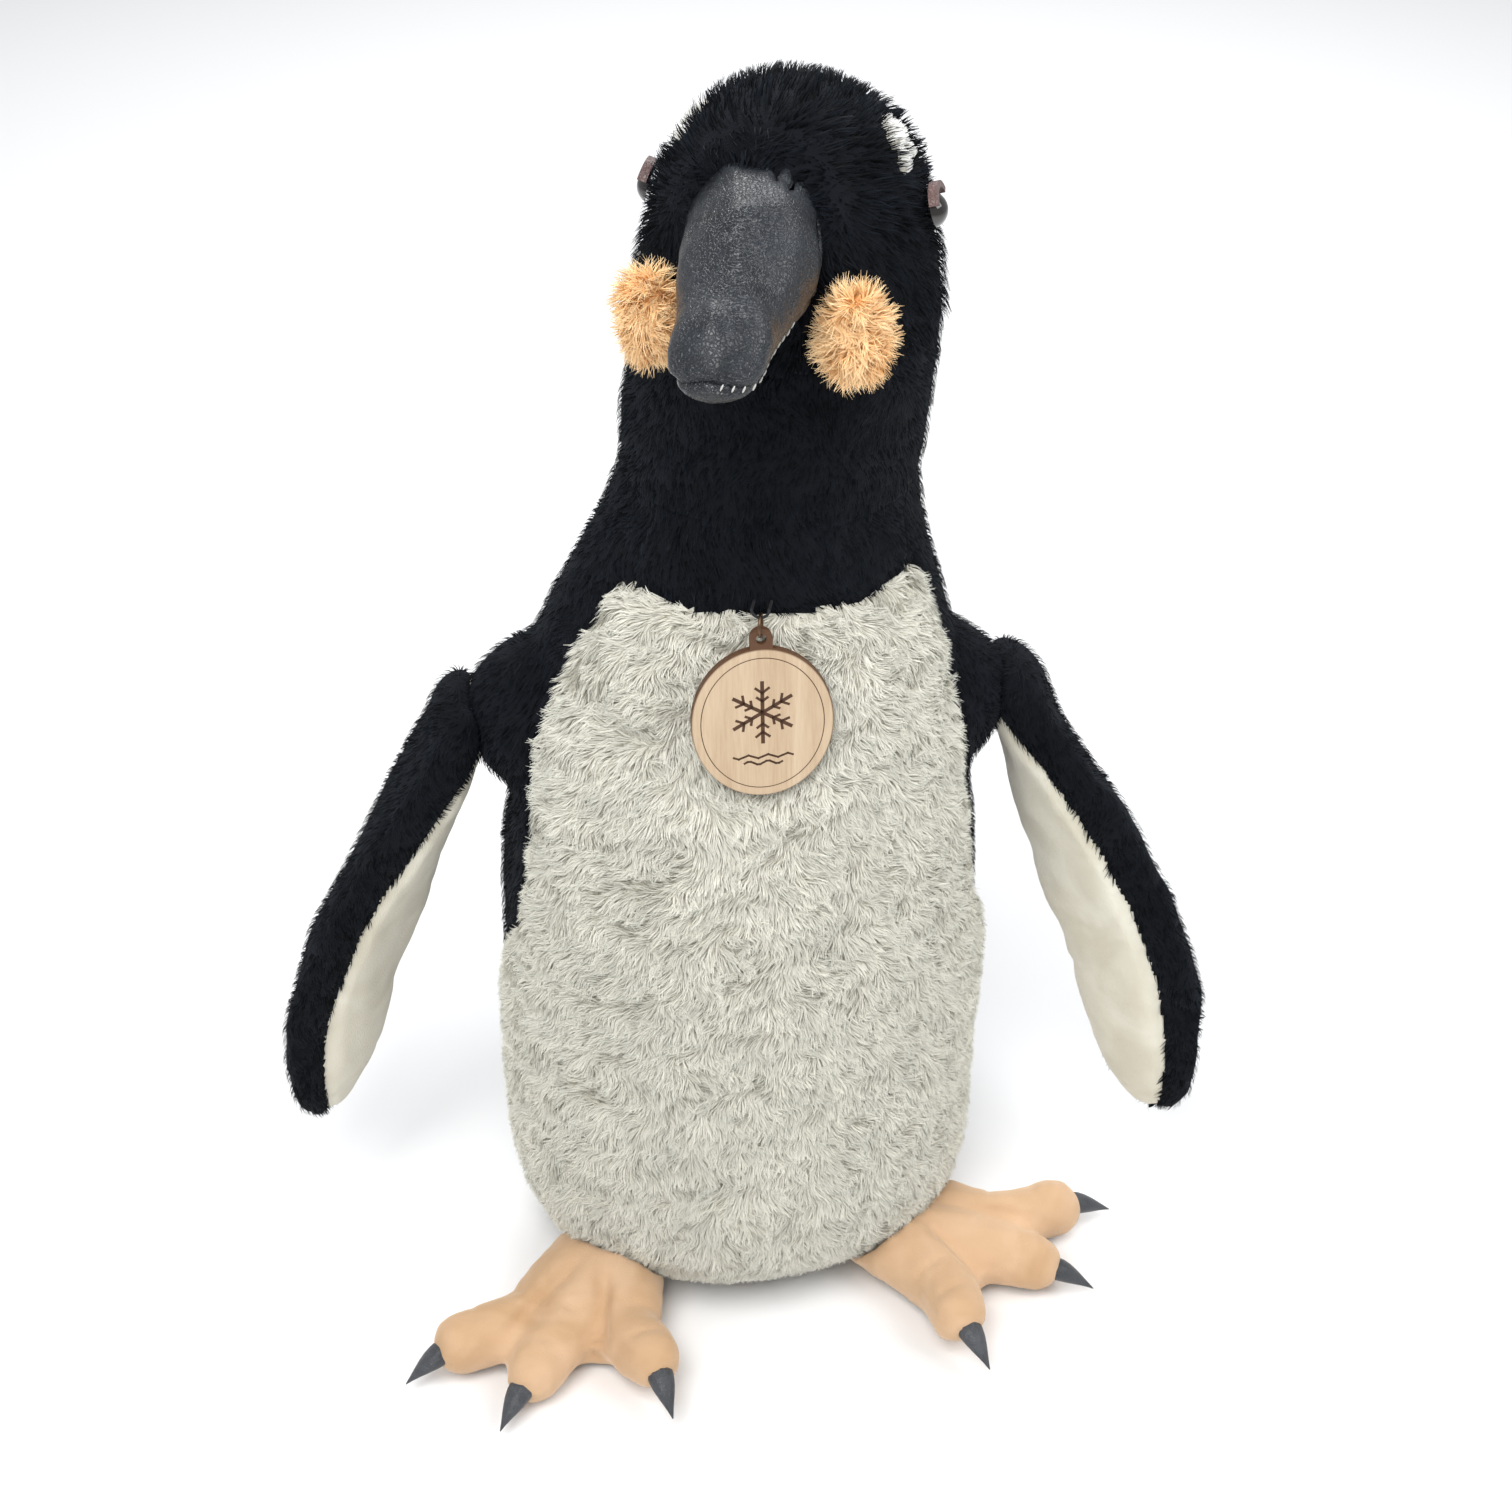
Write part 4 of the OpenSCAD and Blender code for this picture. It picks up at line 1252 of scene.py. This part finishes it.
@dataclass
class Medallion:
    """The oval wooden disc: its burnt edge and ring groove, and a snowflake over waves."""

    width: float = 53 * MM
    height: float = 60 * MM
    lean: float = math.radians(8)
    rim: float = 3.6 * MM
    line: float = 0.55 * MM
    flake: float = 12 * MM
    flake_up: float = 4.5 * MM
    wave_down: float = 13.5 * MM
    arm_stroke: float = 1.5 * MM
    branch_stroke: float = 1.1 * MM
    wave_stroke: float = 0.9 * MM
    stroke_rise: float = 0.16 * MM
    groove_rise: float = 0.08 * MM
    wave_rise: float = 0.7 * MM
    branch_angle: float = 52
    branches: tuple[tuple[float, float], ...] = ((0.38, 2.4 * MM), (0.66, 3 * MM))
    wave_rows: tuple[tuple[float, float, int], ...] = ((11 * MM, 0.0, 3), (7 * MM, 2.6 * MM, 2))

    def frame_of_disc(self) -> Matrix:
        """The disc's own axes: right, up and out of its front face, from the middle of that face."""
        low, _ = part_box("medallion")
        out = Vector((0, -math.cos(self.lean), math.sin(self.lean)))
        up = Vector((0, math.sin(self.lean), math.cos(self.lean)))
        middle = Vector((0, low.y, low.z)) + up * self.height / 2
        return Matrix((
            (1, up.x, out.x, middle.x), (0, up.y, out.y, middle.y), (0, up.z, out.z, middle.z), (0, 0, 0, 1)
        ))

    def bar(self, start: tuple[float, float], end: tuple[float, float], width: float) -> Obj:
        """A flat burnt stroke between two places on the disc, with rounded ends."""
        (x0, y0), (x1, y1) = start, end
        length = math.hypot(x1 - x0, y1 - y0)
        bpy.ops.object.select_all(action="DESELECT")
        bpy.ops.mesh.primitive_cube_add(
            size=1, location=((x0 + x1) / 2, (y0 + y1) / 2, 0), rotation=(0, 0, math.atan2(y1 - y0, x1 - x0)),
            scale=(length + width, width, self.stroke_rise),
        )
        stroke = settle(bpy.context.active_object)
        apply(stroke, "BEVEL", width=width * 0.3, segments=2)
        return stroke

    def arms(self) -> list[Obj]:
        """The strokes of the snowflake's six arms, each with two pairs of branches."""
        middle = np.array([0.0, self.flake_up])
        strokes = []
        for step in range(6):
            a = math.radians(90 + 60 * step)
            way = self.flake * np.array([math.cos(a), math.sin(a)])
            strokes.append(self.bar(middle + 0.06 * way, middle + way, self.arm_stroke))
            for share, reach in self.branches:
                for turn in (self.branch_angle, -self.branch_angle):
                    b = a + math.radians(turn)
                    start = middle + share * way
                    end = start + reach * np.array([math.cos(b), math.sin(b)])
                    strokes.append(self.bar(start, end, self.branch_stroke))
        return strokes

    def waves(self) -> list[Obj]:
        """Two rows of waves under the snowflake."""
        strokes = []
        for half, drop, crests in self.wave_rows:
            spots = np.linspace(-half, half, 13)
            heights = -self.wave_down - drop + self.wave_rise * np.sin(spots / half * math.pi * crests)
            line = list(zip(spots, heights))
            strokes += [self.bar(a, b, self.wave_stroke) for a, b in zip(line, line[1:])]
        return strokes

    def groove(self) -> Obj:
        """The thin burnt ring inside the edge, a unit torus of thin section set to size."""
        thin = 0.02
        bpy.ops.object.select_all(action="DESELECT")
        bpy.ops.mesh.primitive_torus_add(
            major_segments=96, minor_segments=8, major_radius=1, minor_radius=thin
        )
        ring = bpy.context.active_object
        points = points_of(ring)
        radius = np.hypot(points[:, 0], points[:, 1])
        way = points[:, :2] / radius[:, None]
        oval = way * np.array([self.width / 2 - self.rim, self.height / 2 - self.rim])
        points[:, :2] = oval + way * ((radius - 1) / thin * self.line / 2)[:, None]
        points[:, 2] *= self.groove_rise / thin
        move_points(ring, points)
        return ring

    def build(self) -> None:
        """Models the burnt lines on the face of the CAD disc."""
        piece = joined("medallion_engraving", [self.groove(), *self.arms(), *self.waves()])
        piece.data.transform(self.frame_of_disc())
        piece.data.materials.append(BURNT_WOOD.make())
        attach(piece, "medallion")
        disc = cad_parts["medallion"].data
        disc.materials.clear()
        disc.materials.append(Plywood().make(self))


def foot(side: Side) -> Foot:
    """One foot: peach velour above, grey velour below."""
    left = side is Side.LEFT
    panels = (
        Panel(
            f"foot_upper_{side.tag}", PEACH_VELOUR, "peach_velour", ON_TORSO, (f"foot_stuffing_{side.tag}",)
        ),
        Panel(f"foot_sole_{side.tag}", GREY_VELOUR, "grey_velour", ON_TORSO),
    )
    return Foot(
        f"foot_{side.tag}", tuple(p.node for p in panels) + (f"foot_stuffing_{side.tag}",), panels,
        voxel=2.8 * MM, cap=1.5 * MM, inset=0.8 * MM, seam_depth=1 * MM, seam_width=2 * MM,
        lump=0.5 * MM, lump_size=30 * MM, seed=31 + side.value, side=side,
        place=(0.0620, -0.0440) if left else (-0.0640, -0.0500), heading=math.radians(60 if left else 28),
    )


def beak() -> Beak:
    """The stuffed leather beak, upper and lower."""
    panels = (
        Panel("beak_upper", SLATE_LEATHER, "slate_leather", ON_HEAD, ("beak_stuffing",), wall=1.2 * MM),
        Panel("beak_lower", BLACK_LEATHER, "black_leather", ON_HEAD, wall=1.2 * MM),
    )
    return Beak(
        "beak", ("beak_upper", "beak_lower", "beak_stuffing"), panels, voxel=2 * MM, cap=1.2 * MM,
        inset=0.3 * MM, seam_depth=1.3 * MM, seam_width=1.5 * MM, lump=0.3 * MM, lump_size=25 * MM, seed=41,
    )


@dataclass
class Studio:
    """Pale floor, soft lights and the camera."""

    target: Vector = field(default_factory=lambda: Vector((0.00695, -0.00085, 0.255)))
    azimuth: float = math.radians(-7)
    elevation: float = math.radians(35)
    distance: float = 0.95
    lens: float = 54.8
    lights: tuple[tuple[str, tuple[float, float, float], float, float], ...] = (
        ("key", (-0.45, -0.85, 1.55), 0.9, 22),
        ("fill", (0.9, -0.5, 1.35), 0.9, 9),
        ("back", (0.3, 1.6, 1.7), 1.2, 22),
    )

    def camera(self) -> None:
        """Makes the camera and sets it as the scene's."""
        a, e = self.azimuth, self.elevation
        back = Vector((math.sin(a) * math.cos(e), -math.cos(a) * math.cos(e), math.sin(e)))
        data = bpy.data.cameras.new("camera")
        data.lens, data.sensor_width = self.lens, 36.0
        data.clip_start, data.clip_end = 0.01, 50.0
        made = bpy.data.objects.new("camera", data)
        made.location = self.target + back * self.distance
        made.rotation_euler = (-back).to_track_quat("-Z", "Y").to_euler()
        bpy.context.scene.collection.objects.link(made)
        bpy.context.scene.camera = made

    def floor(self) -> None:
        """Makes the pale floor."""
        bpy.ops.object.select_all(action="DESELECT")
        bpy.ops.mesh.primitive_plane_add(size=8.0, location=(0, 0, 0))
        ground = named(bpy.context.active_object, "floor")
        shader = Shader(
            "Floor paper", Base_Color=rgba((0.93, 0.93, 0.93)), Roughness=0.9, Specular_IOR_Level=0.1
        )
        ground.data.materials.append(shader.material)
        settle(ground)

    def light(self, name: str, place: tuple[float, float, float], size: float, power: float) -> None:
        """Adds one soft square light that faces the toy."""
        data = bpy.data.lights.new(name, "AREA")
        data.size, data.energy = size, power
        lamp = bpy.data.objects.new(name, data)
        lamp.location = place
        lamp.rotation_euler = (self.target - Vector(place)).to_track_quat("-Z", "Y").to_euler()
        bpy.context.scene.collection.objects.link(lamp)

    def build(self) -> None:
        """Makes everything round the toy."""
        self.camera()
        self.floor()
        for light in self.lights:
            self.light(*light)
        world = bpy.data.worlds.new("studio")
        world.use_nodes = True
        world.node_tree.nodes["Background"].inputs[0].default_value = rgba((0.95, 0.97, 1.0))
        world.node_tree.nodes["Background"].inputs[1].default_value = 0.5
        bpy.context.scene.world = world
        bpy.context.scene.view_settings.view_transform = "Standard"


def dress_hard_parts() -> None:
    """Gives the CAD nodes that stay their finishes."""
    gloss = Plain("Eye gloss", (0.012, 0.007, 0.005), 0.06, coat=1.0)
    plastic = Plain("Washer plastic", (0.75, 0.75, 0.72), 0.4)
    bronze = Plain("Bronze wire", (0.16, 0.10, 0.06), 0.35, metallic=1.0)
    thread = Plain("Black thread", (0.01, 0.01, 0.012), 0.7)
    felt = Plush("Base felt", (0.006, 0.007, 0.009), (0.012, 0.013, 0.016), relief=0.4 * MM, sheen=0.2)
    finishes = {
        "eye_left": gloss, "eye_right": gloss, "eyelid_left": BROWN_LEATHER, "eyelid_right": BROWN_LEATHER,
        "eye_washer_left": plastic, "eye_washer_right": plastic, "jump_ring": bronze, "thread_loop": thread,
        "base_panel": felt,
    }
    for node, finish in finishes.items():
        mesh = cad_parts[node].data
        mesh.materials.clear()
        mesh.materials.append(finish.make())


def main() -> None:
    """Builds every piece in order."""
    logging.basicConfig(level=logging.INFO, format="%(message)s")
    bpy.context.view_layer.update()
    Studio().build()
    left, right = Side
    forms = [hood(), flipper(left), flipper(right), tail(), foot(left), foot(right), beak()]
    swell([form.block() for form in forms])
    for form in forms:
        form.finish()
        LOG.info("made %s", form.name)
    for side in Side:
        CheekTuft(side).build()
    Medallion().build()
    dress_hard_parts()


if __name__ == "__main__":
    main()
